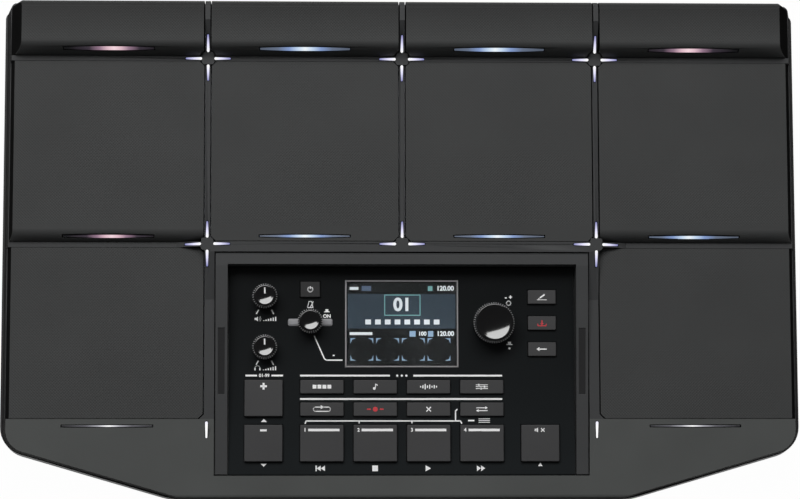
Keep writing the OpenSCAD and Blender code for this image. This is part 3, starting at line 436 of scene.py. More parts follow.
def glowing(name, body_colour, glow_colours, distance):
    """A milky plastic whose glow runs through colours along a distance worked out from the place."""
    finish = grained(name, body_colour, 0.35, fineness=900, depth=0.00002)
    tree = finish.node_tree
    ramp = add_node(tree, "ShaderNodeValToRGB", {"Fac": distance(tree)})
    stops = ramp.color_ramp.elements
    while len(stops) < len(glow_colours):
        stops.new(0.5)
    for stop, (position, colour) in zip(stops, glow_colours):
        stop.position = position
        stop.color = colour
    shader = tree.nodes["Principled BSDF"]
    tree.links.new(ramp.outputs["Color"], shader.inputs["Emission Color"])
    shader.inputs["Emission Strength"].default_value = 1
    return finish


def own_axes(tree):
    """The place in a finish along the part's own axes."""
    place = add_node(tree, "ShaderNodeTexCoord")
    return add_node(tree, "ShaderNodeSeparateXYZ", {"Vector": place.outputs["Object"]}).outputs


def distance_along_x(middle):
    """The distance from a light bar's middle, as a share of where its glow ends."""
    def distance(tree):
        away = add_math(tree, "ABSOLUTE", add_math(tree, "SUBTRACT", own_axes(tree)["X"], middle))
        return add_math(tree, "DIVIDE", away, bar_fade)
    return distance


pink = ((0.0, level(244, 214, 222)), (0.14, level(222, 186, 198)), (0.32, level(146, 116, 136)),
        (0.55, level(54, 46, 56)), (1.0, level(10, 10, 12)))
blue = ((0.0, level(238, 246, 252)), (0.15, level(196, 216, 240)), (0.35, level(128, 152, 200)),
        (0.6, level(98, 110, 132)), (1.0, level(80, 88, 102)))
white = ((0.0, level(250, 250, 250)), (0.1, level(222, 221, 226)), (0.25, level(158, 158, 166)),
         (0.5, level(90, 90, 96)), (1.0, level(38, 38, 40)))
row_glows = ((pink, blue, blue, pink), (pink, blue, blue, blue), (white, None, None, white))
row_limits = (0.090, 0.0, -0.2)
glow_shifts = ((0.0027, 0, -0.002, -0.0027), (0.0018, 0, -0.001, -0.0027), (0.0009, 0, 0, -0.0016))
bars = standing_for("pad_light_bars", "light_bars", 0.0003, sharp=40)
activate(bars)
bpy.ops.mesh.separate(type="LOOSE")
for bar in list(bpy.context.selected_objects):
    middle = sum((Vector(corner) for corner in bar.bound_box), Vector()) / 8
    row = next(i for i, limit in enumerate(row_limits) if middle.y > limit)
    column = int(middle.x // side_strip_x) + 2
    bar.name = f"light_bar_{row}_{column}"
    bar.data.materials.clear()
    bar.data.materials.append(glowing(
        f"bar_glow_{row}_{column}", bar_milk, row_glows[row][column],
        distance_along_x(middle.x + glow_shifts[row][column])))
    sleeved(bar)
    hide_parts("pad_light_bars")
    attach(bar, "housing")

# Light crosses. Small tapered arms of the same milky plastic, their sides painted near-black as painted
# shade, pressed into the strips round each crossing. They are white near the crossing and turn to lavender
# at their tips.
cross_milk = level(58, 58, 62)
arm_start, arm_end = 0.0032, 0.012


def distance_from_crossing(tree):
    """The distance from the nearest strip crossing, as a share of an arm's length."""
    place = deck_axes(tree, Vector((0, middle_strip_v, 0)))
    nearest = [add_math(tree, "PINGPONG", place[axis], pitch / 2)
               for axis, pitch in (("X", side_strip_x), ("Y", strip_row_v))]
    share = add_node(tree, "ShaderNodeMapRange", {
        "Value": add_math(tree, "MAXIMUM", *nearest), "From Min": arm_start, "From Max": arm_end})
    return share.outputs["Result"]


lavender = ((0.0, level(255, 255, 255)), (0.45, level(226, 224, 250)), (1.0, level(120, 122, 180)))
crosses = standing_for("cross_light_guides", "light_crosses", 0.00015, sharp=40)
crosses.data.materials.append(glowing("cross_glow", cross_milk, lavender, distance_from_crossing))
crosses.data.materials.append(guide_edge_shade)
# The arms' sides get the near-black painted shade.
for face in crosses.data.polygons:
    face.material_index = 1 if face.normal.z < wall_steepness else 0
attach(crosses, "housing")

# Bezel. The charcoal frame that rises round the sunken panel, with a chamfer along its rear edge and
# a shallow groove in each side bar, its floor painted darker as painted shade. It drops into the
# housing and holds the panel down.
groove_x, groove_v = 0.0953, -0.0589
groove_reach, groove_least, groove_most = 0.004, 0.00006, 0.0002
facing_up = 0.9
bezel = standing_for("panel_bezel", "bezel", 0.00015, sharp=30, flat=0.00003)
bezel.data.materials.append(grained("bezel_charcoal", level(62, 63, 64), 0.6, fineness=1900, shine=0.35))
bezel.data.materials.append(grained("groove_painted_shade", level(40, 40, 41), 0.7, fineness=1900, shine=0.2))
# The groove's floor faces get the darker painted shade.
for face in bezel.data.polygons:
    place = deck.inverted() @ face.center
    off_groove = Vector((abs(place.x) - groove_x, place.y - groove_v))
    is_floor = groove_least < face.area < groove_most and face.normal.z > facing_up
    if off_groove.length < groove_reach and is_floor:
        face.material_index = 1
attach(bezel, "housing")

# Control panel. A satin black plate with cut-outs for the buttons, knobs and screen.
# The marks on it are screen-printed in white: lines, arrows, numbers and plain symbols.
panel_black = grained("panel_black", level(16, 18, 19), 0.22, fineness=2600, depth=0.00001, shine=0.3)
# The panel's black is painted lighter towards the front, as a painted reflection.
panel_front_painted_sheen, panel_rear_painted_sheen = 2.8, 1.0
panel = panel_black.node_tree
panel_low, panel_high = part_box("control_panel")
panel_painted_gradient = add_node(panel, "ShaderNodeMapRange", {
    "Value": own_axes(panel)["Y"], "From Min": panel_low[1], "From Max": panel_high[1],
    "To Min": panel_front_painted_sheen, "To Max": panel_rear_painted_sheen})
panel_painted_tone = add_math(panel, "MULTIPLY", panel_painted_gradient.outputs["Result"], panel.nodes["grain"].outputs["Tone"])
panel.links.new(panel_painted_tone, panel.nodes["tint"].inputs["Scale"])
finished(panel_black, "control_panel")

mm = 0.001
panel_face = 13.0
ink_t, ink_lift = 0.05, 0.005
letter_weight = 0.035
ink_white = grained("ink_white", level(255, 255, 255), 0.6, fineness=2600, depth=0.00001)
ink_red = grained("ink_red", level(214, 58, 66), 0.6, fineness=2600, depth=0.00001)


def stroke(start, end, width):
    """A printed line between two points of the deck, in millimetres."""
    a, b = Vector(start), Vector(end)
    run = b - a
    middle = (a + b) / 2
    bpy.ops.mesh.primitive_cube_add(
        size=1, location=(middle.x * mm, middle.y * mm, 0), rotation=(0, 0, atan2(run.y, run.x)),
        scale=(run.length * mm, width * mm, ink_t * mm))
    return bpy.context.object


def disc(x, v, radius, sides=32, turn=0.0):
    """A printed dot, or with three sides a printed triangle."""
    bpy.ops.mesh.primitive_cylinder_add(
        vertices=sides, radius=radius * mm, depth=ink_t * mm, location=(x * mm, v * mm, 0),
        rotation=(0, 0, radians(turn)))
    return bpy.context.object


def polyline(points, width):
    """A printed line through several points, with each corner filled."""
    pieces = [stroke(a, b, width) for a, b in zip(points, points[1:])]
    return pieces + [disc(x, v, width / 2, sides=12) for x, v in points[1:-1]]


def arc(x, v, radius, width, start=0, end=360, steps=28):
    """A printed arc round a point, between two angles in degrees."""
    angles = [radians(start + (end - start) * i / steps) for i in range(steps + 1)]
    return polyline([(x + radius * cos(a), v + radius * sin(a)) for a in angles], width)


def arrow(x, v, length, height, turn=0.0):
    """A printed triangle that points right, turned by an angle in degrees."""
    piece = disc(0, 0, 1, sides=3, turn=-90)
    activate(piece)
    bpy.ops.object.transform_apply(location=True, rotation=True, scale=True)
    piece.scale = (length / 1.5, height / 3 ** 0.5, 1)
    piece.rotation_euler = (0, 0, radians(turn))
    piece.location = (x * mm, v * mm, 0)
    return piece


def numeral(text, x, v, size):
    """Printed letters, digits or signs, centred on a point."""
    bpy.ops.object.text_add()
    lettering = bpy.context.object
    lettering.data.body = text
    lettering.data.align_x = "CENTER"
    lettering.data.align_y = "CENTER"
    lettering.data.size = size * mm
    lettering.data.extrude = ink_t * mm / 2
    lettering.data.offset = size * mm * letter_weight
    bpy.ops.object.convert(target="MESH")
    lettering = bpy.context.object
    lettering.location = (x * mm, v * mm, 0)
    return lettering


def single_list(marks):
    """One plain list from marks that may be lists themselves."""
    return [one for mark in marks for one in (single_list(mark) if isinstance(mark, list) else [mark])]


def printed(name, marks, face, ink, body):
    """Joins marks to one print on a face at a height of the deck, which rides on a body."""
    bpy.ops.object.select_all(action="DESELECT")
    for mark in single_list(marks):
        mark.select_set(True)
        bpy.context.view_layer.objects.active = mark
    bpy.ops.object.transform_apply(location=True, rotation=True, scale=True)
    bpy.ops.object.join()
    piece = bpy.context.object
    piece.name = name
    piece.data.materials.clear()
    piece.data.materials.append(ink)
    piece.location = (0, 0, (face + ink_t / 2 + ink_lift) * mm)
    on_deck(piece)
    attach(piece, body)


def speaker(x, v, size):
    """A loudspeaker symbol: a box, a horn and two sound waves."""
    box = stroke((x - 0.5 * size, v), (x - 0.2 * size, v), 0.4 * size)
    horn = arrow(x - 0.05 * size, v, 0.5 * size, 0.95 * size, 180)
    return [box, horn, arc(x, v, 0.42 * size, 0.1 * size, -42, 42, 10),
            arc(x, v, 0.68 * size, 0.1 * size, -42, 42, 12)]


def level_wedge(x, v, width, height):
    """A row of bars that grow to the right, as for a volume."""
    count = 6
    pitch = width / count
    foot = v - height / 2
    return [stroke((x + i * pitch, foot), (x + i * pitch, foot + height * (i + 1) / count), 0.55 * pitch)
            for i in range(count)]


def headphones(x, v, size):
    """A headphone symbol: a band with a cup at each end."""
    sides = (x - 0.5 * size, x + 0.5 * size)
    cups = [stroke((s, v - 0.45 * size), (s, v + 0.1 * size), 0.26 * size) for s in sides]
    return [arc(x, v, 0.5 * size, 0.11 * size, 0, 180, 18)] + cups


def metronome(x, v, size):
    """A metronome symbol: a tapered case and a swinging rod."""
    low, high, wide, slim = v - 0.5 * size, v + 0.5 * size, 0.45 * size, 0.22 * size
    case = [(x - wide, low), (x - slim, high), (x + slim, high), (x + wide, low)]
    return [polyline(case + case[:2], 0.13 * size), stroke((x, low), (x + 0.5 * size, high), 0.13 * size)]


def push_sign(x, v, size):
    """The sign for a knob that can be pushed: a cap on a plate."""
    return [stroke((x - 0.5 * size, v - 0.2 * size), (x + 0.5 * size, v - 0.2 * size), 0.16 * size),
            stroke((x - 0.26 * size, v + 0.06 * size), (x + 0.26 * size, v + 0.06 * size), 0.4 * size)]


line_w, thin_w, hair_w = 0.95, 0.68, 0.35
main_knob, phones_knob = (-72.5, -24.4), (-72.5, -51.4)
metronome_knob, value_knob = (-48.55, -37.7), (48.55, -38.8)
tick_ends = ((3.4, 6.8), (4.6, 9.0))
main_sign_v, phones_sign_v = -36.0, -62.2
wedge_x, wedge_w, wedge_h = -73.2, 7.6, 2.2
push_x, value_sign_x, enter_sign_x = -39.7, 56.9, 57.2
line_left, line_right = -53.9, 53.2
upper_line_v, lower_line_v, bracket_v, foot_v = -66.1, -78.5, -90.1, -115.1
skip_l, skip_h = 2.2, 3.0
dot_r = 0.6

marks = []
for x, v in (main_knob, phones_knob):
    for side in (-1, 1):
        ends = [(x + side * reach, v - drop) for reach, drop in tick_ends]
        marks.append(stroke(*ends, thin_w))
marks += [speaker(-76.6, main_sign_v, 2.8), headphones(-76.4, phones_sign_v, 2.6)]
marks += [level_wedge(wedge_x, v, wedge_w, wedge_h) for v in (main_sign_v, phones_sign_v)]
marks.append(metronome(metronome_knob[0], -28.3, 3.2))
marks += [push_sign(push_x, -31.6, 3.0), numeral("ON", push_x, -34.6, 2.6)]
marks.append(polyline([(-46.4, -45.0), (-41.0, -57.2), (-39.9, -57.9), (-31.4, -57.9)], thin_w))
marks.append(stroke((-36.6, -55.4), (-35.6, -55.4), thin_w))
marks += [numeral("- +", value_sign_x, -24.4, 3.4), arc(value_sign_x, -27.5, 1.15, 0.5)]
marks += [push_sign(enter_sign_x, -48.9, 3.2), disc(enter_sign_x, -51.6, dot_r)]
for start, end in ((-82.7, -76.6), (-69.0, -62.9), (line_left, -6.3), (6.1, line_right)):
    marks.append(stroke((start, upper_line_v), (end, upper_line_v), line_w))
marks.append(numeral("01-99", -72.8, upper_line_v, 2.4))
marks += [disc(x, upper_line_v, dot_r) for x in (-2.4, 0, 2.4)]
marks.append(stroke((line_left, lower_line_v), (line_right, lower_line_v), line_w))
marks.append(polyline([(-51.2, -91.6), (-50.6, bracket_v), (31.0, bracket_v), (31.7, -91.6)], thin_w))
marks += [stroke((x, bracket_v), (x, -91.4), thin_w) for x in (-22.6, 5.3)]
marks.append(polyline([(28.4, bracket_v), (28.4, -84.8), (29.4, -83.9)], thin_w))
marks.append(stroke((35.0, -89.9), (38.4, -89.9), 0.8))
marks += [stroke((40.6, v), (46.6, v), hair_w) for v in (-89.0, -89.9, -90.8)]
marks += [arrow(-72.9, -90.1, 1.6, 3.2, 90), arrow(-72.9, -113.2, 1.6, 3.2, 270)]
marks.append(stroke((-45.3, foot_v - skip_h / 2), (-45.3, foot_v + skip_h / 2), 0.7))
marks += [arrow(x, foot_v, skip_l, skip_h, 180) for x in (-43.6, -41.4)]
marks.append(stroke((-15.7, foot_v), (-12.7, foot_v), 3.0))
marks.append(arrow(13.4, foot_v, 2.8, 3.2))
marks += [arrow(x, foot_v, skip_l, skip_h) for x in (40.3, 42.5)]
marks.append(arrow(73.1, -113.3, 2.0, 2.4, 90))
printed("panel_print", marks, panel_face, ink_white, "housing")


# Screen. A clear pane over a small colour display, with a pale rim set round its edge.
# The picture is lit from behind: a bar, a banner with a framed number and four empty cells.
screen_mid = (0.0, -38.5)
screen_size = (59.9, 46.2)
picture_size = (57.2, 44.0)
pane_t = 0.7
pane_top = 12.75
rim_w, rim_gap, rim_proud = 0.65, 0.01, 0.12
module_top, picture_face = 10.55, 11.9
backing_in = 0.6
layer_t = 0.03


def block(x, v, width, depth, low, high):
    """A box in the deck's own axes, in millimetres, with its place in the mesh."""
    bpy.ops.mesh.primitive_cube_add(
        size=1, location=(x * mm, v * mm, (low + high) / 2 * mm),
        scale=(width * mm, depth * mm, (high - low) * mm))
    piece = bpy.context.object
    bpy.ops.object.transform_apply(location=True, rotation=True, scale=True)
    return piece


def picked(piece, kind, wanted):
    """Opens a piece for editing with only the wanted corners or faces of its mesh selected."""
    activate(piece)
    bpy.ops.object.mode_set(mode="EDIT")
    bpy.ops.mesh.select_mode(type=kind)
    bpy.ops.mesh.select_all(action="DESELECT")
    bpy.ops.object.mode_set(mode="OBJECT")
    for part in piece.data.vertices if kind == "VERT" else piece.data.polygons:
        part.select = wanted(part)
    bpy.ops.object.mode_set(mode="EDIT")


pane = block(*screen_mid, *screen_size, pane_top - pane_t, pane_top)
pane.name = "screen_pane"
smoothed(pane, 0.00015)
on_deck(pane)
pane_glass = grained("pane_glass", level(235, 238, 240), 0.06, fineness=60, depth=0)
pane_glass.node_tree.nodes["Principled BSDF"].inputs["Transmission Weight"].default_value = 1
pane_glass.node_tree.nodes["Principled BSDF"].inputs["IOR"].default_value = 1.15
pane.data.materials.append(pane_glass)
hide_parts("display_window")
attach(pane, "housing")

rim = block(*screen_mid, *screen_size, pane_top + rim_gap, panel_face + rim_proud)
rim.name = "screen_rim"
picked(rim, "FACE", lambda face: abs(face.normal.z) > facing_up)
bpy.ops.mesh.inset(thickness=rim_w * mm, depth=0)
bpy.ops.mesh.bridge_edge_loops()
bpy.ops.object.mode_set(mode="OBJECT")
smoothed(rim, 0.0001)
on_deck(rim)
rim.data.materials.append(grained("rim_silver", level(158, 156, 158), 0.4, fineness=2000))
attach(rim, "housing")


def lit(name, colour):
    """A lit part of the screen's picture, a little uneven as a backlight is."""
    finish = grained(name, level(8, 8, 9), 0.5, fineness=400, depth=0.000005)
    tree = finish.node_tree
    shader = tree.nodes["Principled BSDF"]
    glow = add_node(tree, "ShaderNodeVectorMath", {
        0: colour[:3], "Scale": tree.nodes["grain"].outputs["Tone"]}, operation="SCALE")
    tree.links.new(glow.outputs["Vector"], shader.inputs["Emission Color"])
    shader.inputs["Emission Strength"].default_value = 1
    return finish


screen_black = lit("screen_black", level(8, 9, 10))
screen_banner = lit("screen_banner", level(49, 62, 72))
screen_white = lit("screen_white", level(240, 244, 246))
screen_teal = lit("screen_teal", level(126, 178, 176))
screen_sky = lit("screen_sky", level(150, 178, 205))
screen_badge = lit("screen_badge", level(92, 106, 128))

picture_left = screen_mid[0] - picture_size[0] / 2
picture_rear = screen_mid[1] + picture_size[1] / 2
picture = []


def shown(marks, finish, layer=2):
    """Puts lit marks on one layer of the picture."""
    for mark in single_list(marks):
        mark.data.materials.clear()
        mark.data.materials.append(finish)
        mark.location.z = mark.location.z + (picture_face + layer * layer_t + ink_t / 2) * mm
        picture.append(mark)


def picture_bar(left, drop, width, height):
    """A bar in the picture, from its left end and the drop of its middle below the rear edge."""
    x, v = picture_left + left, picture_rear - drop
    return stroke((x, v), (x + width, v), height)


def cell_corner(x, v, size, hollow, turn):
    """A corner mark of a cell: a right-angled triangle whose long side is hollowed."""
    bpy.ops.mesh.primitive_plane_add(size=size * mm)
    piece = bpy.context.object
    picked(piece, "VERT", lambda vertex: vertex.co.x > 0 and vertex.co.y > 0)
    bpy.ops.transform.translate(value=(-size * hollow * mm, -size * hollow * mm, 0))
    bpy.ops.mesh.select_all(action="SELECT")
    bpy.ops.mesh.extrude_region_move(TRANSFORM_OT_translate={"value": (0, 0, ink_t * mm)})
    bpy.ops.mesh.select_all(action="SELECT")
    bpy.ops.mesh.normals_make_consistent(inside=False)
    bpy.ops.object.mode_set(mode="OBJECT")
    piece.rotation_euler = (0, 0, radians(turn))
    piece.location = (x * mm, v * mm, -ink_t / 2 * mm)
    return piece


backing = block(
    *screen_mid, screen_size[0] - backing_in, screen_size[1] - backing_in, module_top, picture_face)
backing.data.materials.append(screen_black)
picture.append(backing)
shown([picture_bar(0, 15.3, picture_size[0], 18.4)], screen_banner, 1)
frame_left, frame_right = -9.0, 9.8
frame_rear, frame_front = picture_rear - 6.6, picture_rear - 17.4
frame_line = [(frame_left, frame_rear), (frame_right, frame_rear), (frame_right, frame_front),
              (frame_left, frame_front)]
shown(polyline(frame_line + frame_line[:2], 0.5), screen_teal)
step_count, step_pitch, step_first = 8, 5.2, 9.3
shown([picture_bar(step_first + i * step_pitch, 21.0, 3.0, 2.6) for i in range(step_count)], screen_white)
title_drop, tempo_drop = 3.1, 27.3
shown([picture_bar(1.0, title_drop, 4.6, 1.5), picture_bar(1.0, 27.2, 12.0, 1.5)], screen_white)
shown([picture_bar(7.4, title_drop, 5.0, 2.6)], screen_badge)
shown([picture_bar(42.6, title_drop, 2.4, 2.6)], screen_teal)
shown([picture_bar(32.8, tempo_drop, 3.2, 3.0), picture_bar(42.6, tempo_drop, 2.8, 3.0)], screen_sky)
picture_numbers = (("01", 29.0, 12.0, 9.5), ("120.00", 51.8, title_drop, 3.4),
                   ("100", 39.6, tempo_drop, 2.9), ("120.00", 51.8, tempo_drop, 3.4))
for text, left, drop, size in picture_numbers:
    shown([numeral(text, picture_left + left, picture_rear - drop, size)], screen_white)
cell_count, cell_pitch, cell_w, cell_d = 4, 13.65, 12.1, 11.9
cell_first, cell_mid = picture_left + 1.4 + cell_w / 2, picture_rear - 35.6
corner_size, corner_hollow = 2.9, 0.72
for cell in range(cell_count):
    for turn, side, end in ((0, -1, -1), (90, 1, -1), (180, 1, 1), (270, -1, 1)):
        corner_x = cell_first + cell * cell_pitch + side * (cell_w - corner_size) / 2
        corner_v = cell_mid + end * (cell_d - corner_size) / 2
        shown([cell_corner(corner_x, corner_v, corner_size, corner_hollow, turn)], screen_sky)
bpy.ops.object.select_all(action="DESELECT")
for mark in picture:
    mark.select_set(True)
bpy.context.view_layer.objects.active = backing
bpy.ops.object.transform_apply(location=True, rotation=True, scale=True)
bpy.ops.object.join()
backing.name = "screen_picture"
on_deck(backing)
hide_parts("display_window")
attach(backing, "housing")


# Buttons. Nineteen square-edged caps moulded in charcoal plastic, each with a flange that keeps it
# under the panel and a stem on its switch. Their marks are printed: numbers, bars and plain symbols.
button_charcoal = grained("button_charcoal", level(60, 60, 61), 0.55, fineness=2400, shine=0.35)
button_dark = grained("button_dark", level(38, 38, 39), 0.55, fineness=2400, shine=0.35)
small_face, large_face = panel_face + 1.6, panel_face + 2.2
columns = (-42.3, -14.1, 14.1, 42.3)
mode_rows, function_row = (-72.1, -84.0), -101.9
kit_x, kit_row = 73.1, -78.1
edit_x, edit_rows = 74.5, (-24.3, -38.2, -52.1)
power_place = (-48.55, -20.4)
mark_rise = 6.9


def squares(x, v):
    """Four small squares in a row, as for a set of pads."""
    return [stroke((x + i * 2.6 - 4.9, v), (x + i * 2.6 - 2.9, v), 2.0) for i in range(4)]


def note(x, v):
    """A music note: a round head, a stem and a flag."""
    return [disc(x - 0.5, v - 0.9, 0.75), stroke((x + 0.1, v - 0.9), (x + 0.1, v + 1.6), 0.4),
            stroke((x + 0.1, v + 1.4), (x + 1.3, v + 0.7), 0.5)]


def waveform(x, v):
    """A row of upright bars of different heights, as for a recorded sound."""
    heights = (0.8, 1.7, 2.9, 1.3, 2.3, 0.9, 1.8, 1.0)
    return [stroke((x + i * 1.2 - 4.2, v - h / 2), (x + i * 1.2 - 4.2, v + h / 2), 0.6)
            for i, h in enumerate(heights)]


def sliders(x, v):
    """Three level lines, each with a handle at another place."""
    handles = (-1.6, 1.4, -0.4)
    lines = [stroke((x - 3.2, v + 1.0 - i), (x + 3.2, v + 1.0 - i), hair_w) for i in range(3)]
    return lines + [disc(x + h, v + 1.0 - i, 0.55) for i, h in enumerate(handles)]


def loop(x, v):
    """A flattened loop with an arrow head, as for a sound that repeats."""
    sides = [stroke((x - 3.4, v + s * 1.1), (x + 3.4, v + s * 1.1), 0.5) for s in (-1, 1)]
    ends = [arc(x - 3.4, v, 1.1, 0.5, 90, 270, 12), arc(x + 3.4, v, 1.1, 0.5, -90, 90, 12)]
    return sides + ends + [arrow(x, v + 1.1, 1.9, 2.2)]


def record_dot(x, v):
    """A round dot between two short bars."""
    return [disc(x, v, 1.3), stroke((x - 4.4, v), (x - 2.4, v), 0.7),
            stroke((x + 2.4, v), (x + 4.4, v), 0.7)]


def cross(x, v):
    """A diagonal cross."""
    return [stroke((x - 1.2, v - s * 1.2), (x + 1.2, v + s * 1.2), 0.6) for s in (-1, 1)]


def two_ways(x, v):
    """Two arrows, one above the other, that point opposite ways."""
    return [stroke((x - 3.0, v + 0.75), (x + 1.6, v + 0.75), 0.45), arrow(x + 2.2, v + 0.75, 1.4, 1.5),
            stroke((x - 1.6, v - 0.75), (x + 3.0, v - 0.75), 0.45), arrow(x - 2.2, v - 0.75, 1.4, 1.5, 180)]


def pencil(x, v):
    """A slanting pencil over a line."""
    return [stroke((x - 1.0, v - 0.5), (x + 1.5, v + 1.3), 0.8), arrow(x - 1.5, v - 0.85, 0.9, 0.8, 216),
            stroke((x - 2.6, v - 1.5), (x + 2.6, v - 1.5), hair_w)]


def store(x, v):
    """An arrow down into a tray."""
    tray = [(x - 2.2, v - 0.4), (x - 2.2, v - 1.5), (x + 2.2, v - 1.5), (x + 2.2, v - 0.4)]
    return [stroke((x, v + 1.5), (x, v - 0.2), 0.6), arrow(x, v - 0.5, 1.1, 1.9, 270), polyline(tray, 0.45)]


def back(x, v):
    """An arrow that points back."""
    return [stroke((x - 1.4, v), (x + 2.4, v), 0.6), arrow(x - 2.0, v, 1.6, 2.2, 180)]


def muted(x, v):
    """A loudspeaker without waves, beside a small cross."""
    strokes = [stroke((x + 0.4, v - s * 0.9), (x + 2.2, v + s * 0.9), 0.5) for s in (-1, 1)]
    return [stroke((x - 3.0, v), (x - 1.9, v), 1.1), arrow(x - 1.7, v, 1.5, 2.6, 180)] + strokes


def minus(x, v):
    """A bold minus sign."""
    return [stroke((x - 1.75, v), (x + 1.75, v), 1.1)]


def plus(x, v):
    """A bold plus sign."""
    return minus(x, v) + [stroke((x, v - 1.75), (x, v + 1.75), 1.1)]


def power(x, v):
    """A ring with a short stroke in its gap."""
    return arc(x, v, 1.3, 0.62, 120, 420, 26) + [stroke((x, v + 0.3), (x, v + 1.7), 0.6)]


def numbered(number):
    """A number with a light bar beside it, at the rear edge of a function button."""
    def sign(x, v):
        return [numeral(str(number), x - 8.9, v, 2.6), stroke((x - 7.2, v), (x + 9.3, v), 1.35)]
    return sign


button_marks = {
    "power_button": (power_place, small_face, power, ink_white),
    "edit_button": ((edit_x, edit_rows[0]), small_face, pencil, ink_white),
    "write_button": ((edit_x, edit_rows[1]), small_face, store, ink_red),
    "exit_button": ((edit_x, edit_rows[2]), small_face, back, ink_white),
    "kit_plus_button": ((-kit_x, kit_row + mark_rise - 0.7), large_face, plus, ink_white),
    "kit_minus_button": ((-kit_x, function_row + mark_rise - 0.2), large_face, minus, ink_white),
    "shift_button": ((kit_x, function_row + mark_rise), large_face, muted, ink_white),
}
mode_signs = (squares, note, waveform, sliders, loop, record_dot, cross, two_ways)
for i, sign in enumerate(mode_signs):
    place = (columns[i % 4], mode_rows[i // 4])
    ink = ink_red if sign is record_dot else ink_white
    button_marks[f"mode_button_{i + 1}"] = (place, small_face, sign, ink)
for i, x in enumerate(columns):
    place = (x, function_row + mark_rise)
    button_marks[f"function_button_{i + 1}"] = (place, large_face, numbered(i + 1), ink_white)
for button_name, (place, face, sign, ink) in button_marks.items():
    cap = standing_for(button_name, f"{button_name}_cap", 0.0004, sharp=40)
    cap.data.materials.append(button_dark if button_name == "power_button" else button_charcoal)
    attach(cap, button_name)
    printed(f"{button_name}_mark", sign(*place), face, ink, button_name)

# Knobs. Four turned caps of glossy black plastic, knurled round the skirt and dished on top, pushed
# onto their steel shafts. The two volume knobs have a white pointer let into the dish.
knob_black = grained("knob_black", level(16, 16, 17), 0.12, fineness=1200, depth=0.000002, shine=0.8)
knob_black.node_tree.nodes["Principled BSDF"].inputs["Coat Weight"].default_value = 0.8
# The crown of each knurl tooth is painted pale grey, as a painted glint.
knurl_painted_glint = grained("knurl_painted_glint", level(185, 185, 187), 0.35, fineness=1200, depth=0.000002, shine=0.8)
pointer_white = grained("pointer_white", level(240, 240, 240), 0.5, fineness=2400, depth=0.00001)
shaft_hole_r, shaft_hole_top = 3.05, 2.6
shoulder_share = 0.72
knurl_depth = 0.28
dish_steps = 10
tooth_points = 4
knob_smooth_turn = radians(25)


def turned_knob(name, radius, height, dish, teeth):
    """A knob turned round the deck's upright axis: bore, knurled skirt, land and hollow dish."""
    top = radius - 1.2
    land = top - 0.8
    shoulder = height * shoulder_share
    rings = [(shaft_hole_r, height - shaft_hole_top), (shaft_hole_r, 0), (radius - 0.5, 0), (radius, 0.5),
             (radius, shoulder - 0.7), (radius - 0.12, shoulder - 0.3), (radius - 0.38, shoulder - 0.05),
             (radius - 0.7, shoulder + 0.08), (top + 0.25, shoulder + 0.35), (top + 0.2, height - 0.55),
             (top + 0.05, height - 0.22), (top - 0.15, height - 0.05), (top - 0.35, height), (land, height)]
    for i in range(1, dish_steps):
        reach = 1 - i / dish_steps
        rings.append((land * reach, height - dish * (1 - reach * reach)))
    first_r, first_h = rings[0]
    bpy.ops.mesh.primitive_circle_add(
        vertices=teeth * tooth_points, radius=first_r * mm, fill_type="NGON", location=(0, 0, 0))
    piece = bpy.context.object
    piece.name = name
    bpy.ops.object.mode_set(mode="EDIT")
    bpy.ops.mesh.select_all(action="SELECT")
    bpy.ops.transform.translate(value=(0, 0, first_h * mm))
    for (from_r, from_h), (to_r, to_h) in zip(rings, rings[1:]):
        bpy.ops.mesh.extrude_region_move(TRANSFORM_OT_translate={"value": (0, 0, (to_h - from_h) * mm)})
        bpy.ops.transform.resize(value=(to_r / from_r, to_r / from_r, 1))
    bpy.ops.object.mode_set(mode="OBJECT")

    def in_groove(vertex):
        knurled = vertex.co.z / mm > 0.4 and vertex.co.xy.length / mm > radius - 0.75
        point = round(atan2(vertex.co.y, vertex.co.x) / (2 * pi) * teeth * tooth_points) % tooth_points
        return knurled and point < tooth_points / 2

    picked(piece, "VERT", in_groove)
    groove = 1 - knurl_depth / radius
    bpy.ops.transform.resize(value=(groove, groove, 1))
    bpy.ops.mesh.select_all(action="SELECT")
    bpy.ops.mesh.normals_make_consistent(inside=False)
    bpy.ops.object.mode_set(mode="OBJECT")
    activate(piece)
    bpy.ops.object.shade_smooth_by_angle(angle=knob_smooth_turn)
    piece.data.materials.append(knob_black)
    piece.data.materials.append(knurl_painted_glint)
    # Faces on the crown of each tooth get the pale painted glint.
    for face in piece.data.polygons:
        middle = face.center / mm
        tooth = atan2(middle.y, middle.x) / (2 * pi) * teeth % 1
        on_rim = radius - 0.6 < middle.xy.length < radius - 0.05
        on_crown = on_rim and shoulder - 0.75 < middle.z < shoulder + 0.1
        face.material_index = 1 if on_crown and 0.5 < tooth < 0.75 else 0
    return piece


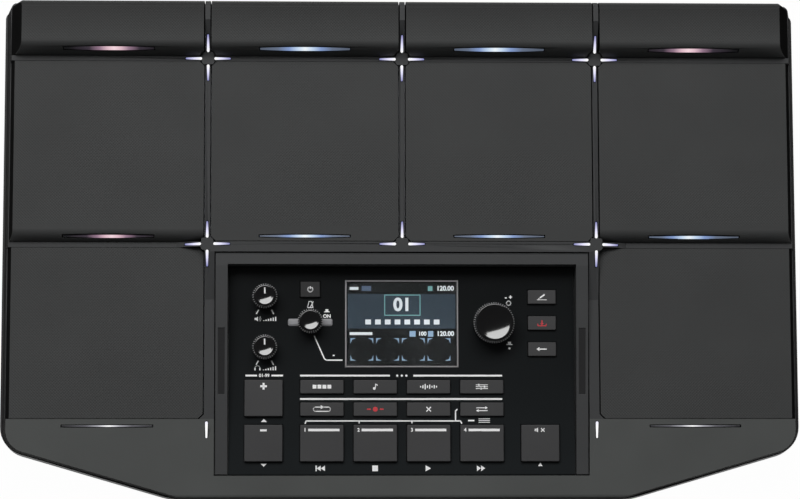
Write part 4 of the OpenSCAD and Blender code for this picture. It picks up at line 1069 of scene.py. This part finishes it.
knobs = (
    ("main_volume_knob", "main_volume", main_knob, 6.6, 9.6, 0.9, 32, panel_face + 0.5, True),
    ("phones_volume_knob", "phones_volume", phones_knob, 6.6, 9.6, 0.9, 32, panel_face + 0.5, True),
    ("metronome_knob", "metronome_knob", metronome_knob, 6.6, 9.6, 0.9, 32, panel_face + 1.1, False),
    ("value_knob", "value_knob", value_knob, 10.9, 11.6, 1.5, 54, panel_face + 1.1, False))
for node, body, (x, v), radius, height, dish, teeth, base, has_pointer in knobs:
    knob = turned_knob(f"{node}_cap", radius, height, dish, teeth)
    knob.location = (x * mm, v * mm, base * mm)
    on_deck(knob)
    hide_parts(node)
    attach(knob, body)
    if has_pointer:
        pointer = block(x, v + 2.5, 0.8, 3.2, base + height - 1.3, base + height - 0.12)
        pointer.name = f"{node}_pointer"
        smoothed(pointer, 0.00008)
        on_deck(pointer)
        pointer.data.materials.append(pointer_white)
        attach(pointer, body)

# Metronome lamp. A milky grey lens that lies across the panel under the metronome knob, which
# hides its middle, so that a short rounded bar shows on each side.
lamp_corner_r, lamp_corner_steps = 0.0011, 5
lamp_end_play, lamp_least_rise = 0.0001, 0.0008
lamp = standing_for("metronome_lamp", "metronome_lamp_lens", 0)
lamp_middle = metronome_knob[0] * mm
lamp_reach = max(abs(vertex.co.x - lamp_middle) for vertex in lamp.data.vertices)
activate(lamp)
for edge in lamp.data.edges:
    ends = [lamp.data.vertices[i].co for i in edge.vertices]
    at_end = all(abs(end.x - lamp_middle) > lamp_reach - lamp_end_play for end in ends)
    edge.select = at_end and abs(ends[0].z - ends[1].z) > lamp_least_rise
bpy.ops.object.mode_set(mode="EDIT")
bpy.ops.mesh.select_mode(type="EDGE")
bpy.ops.mesh.bevel(offset=lamp_corner_r, segments=lamp_corner_steps)
bpy.ops.object.mode_set(mode="OBJECT")
smoothed(lamp, 0.0002, sharp=40)
lamp.data.materials.append(grained("lamp_milk", level(150, 150, 153), 0.4, fineness=700, depth=0.00002))
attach(lamp, "housing")
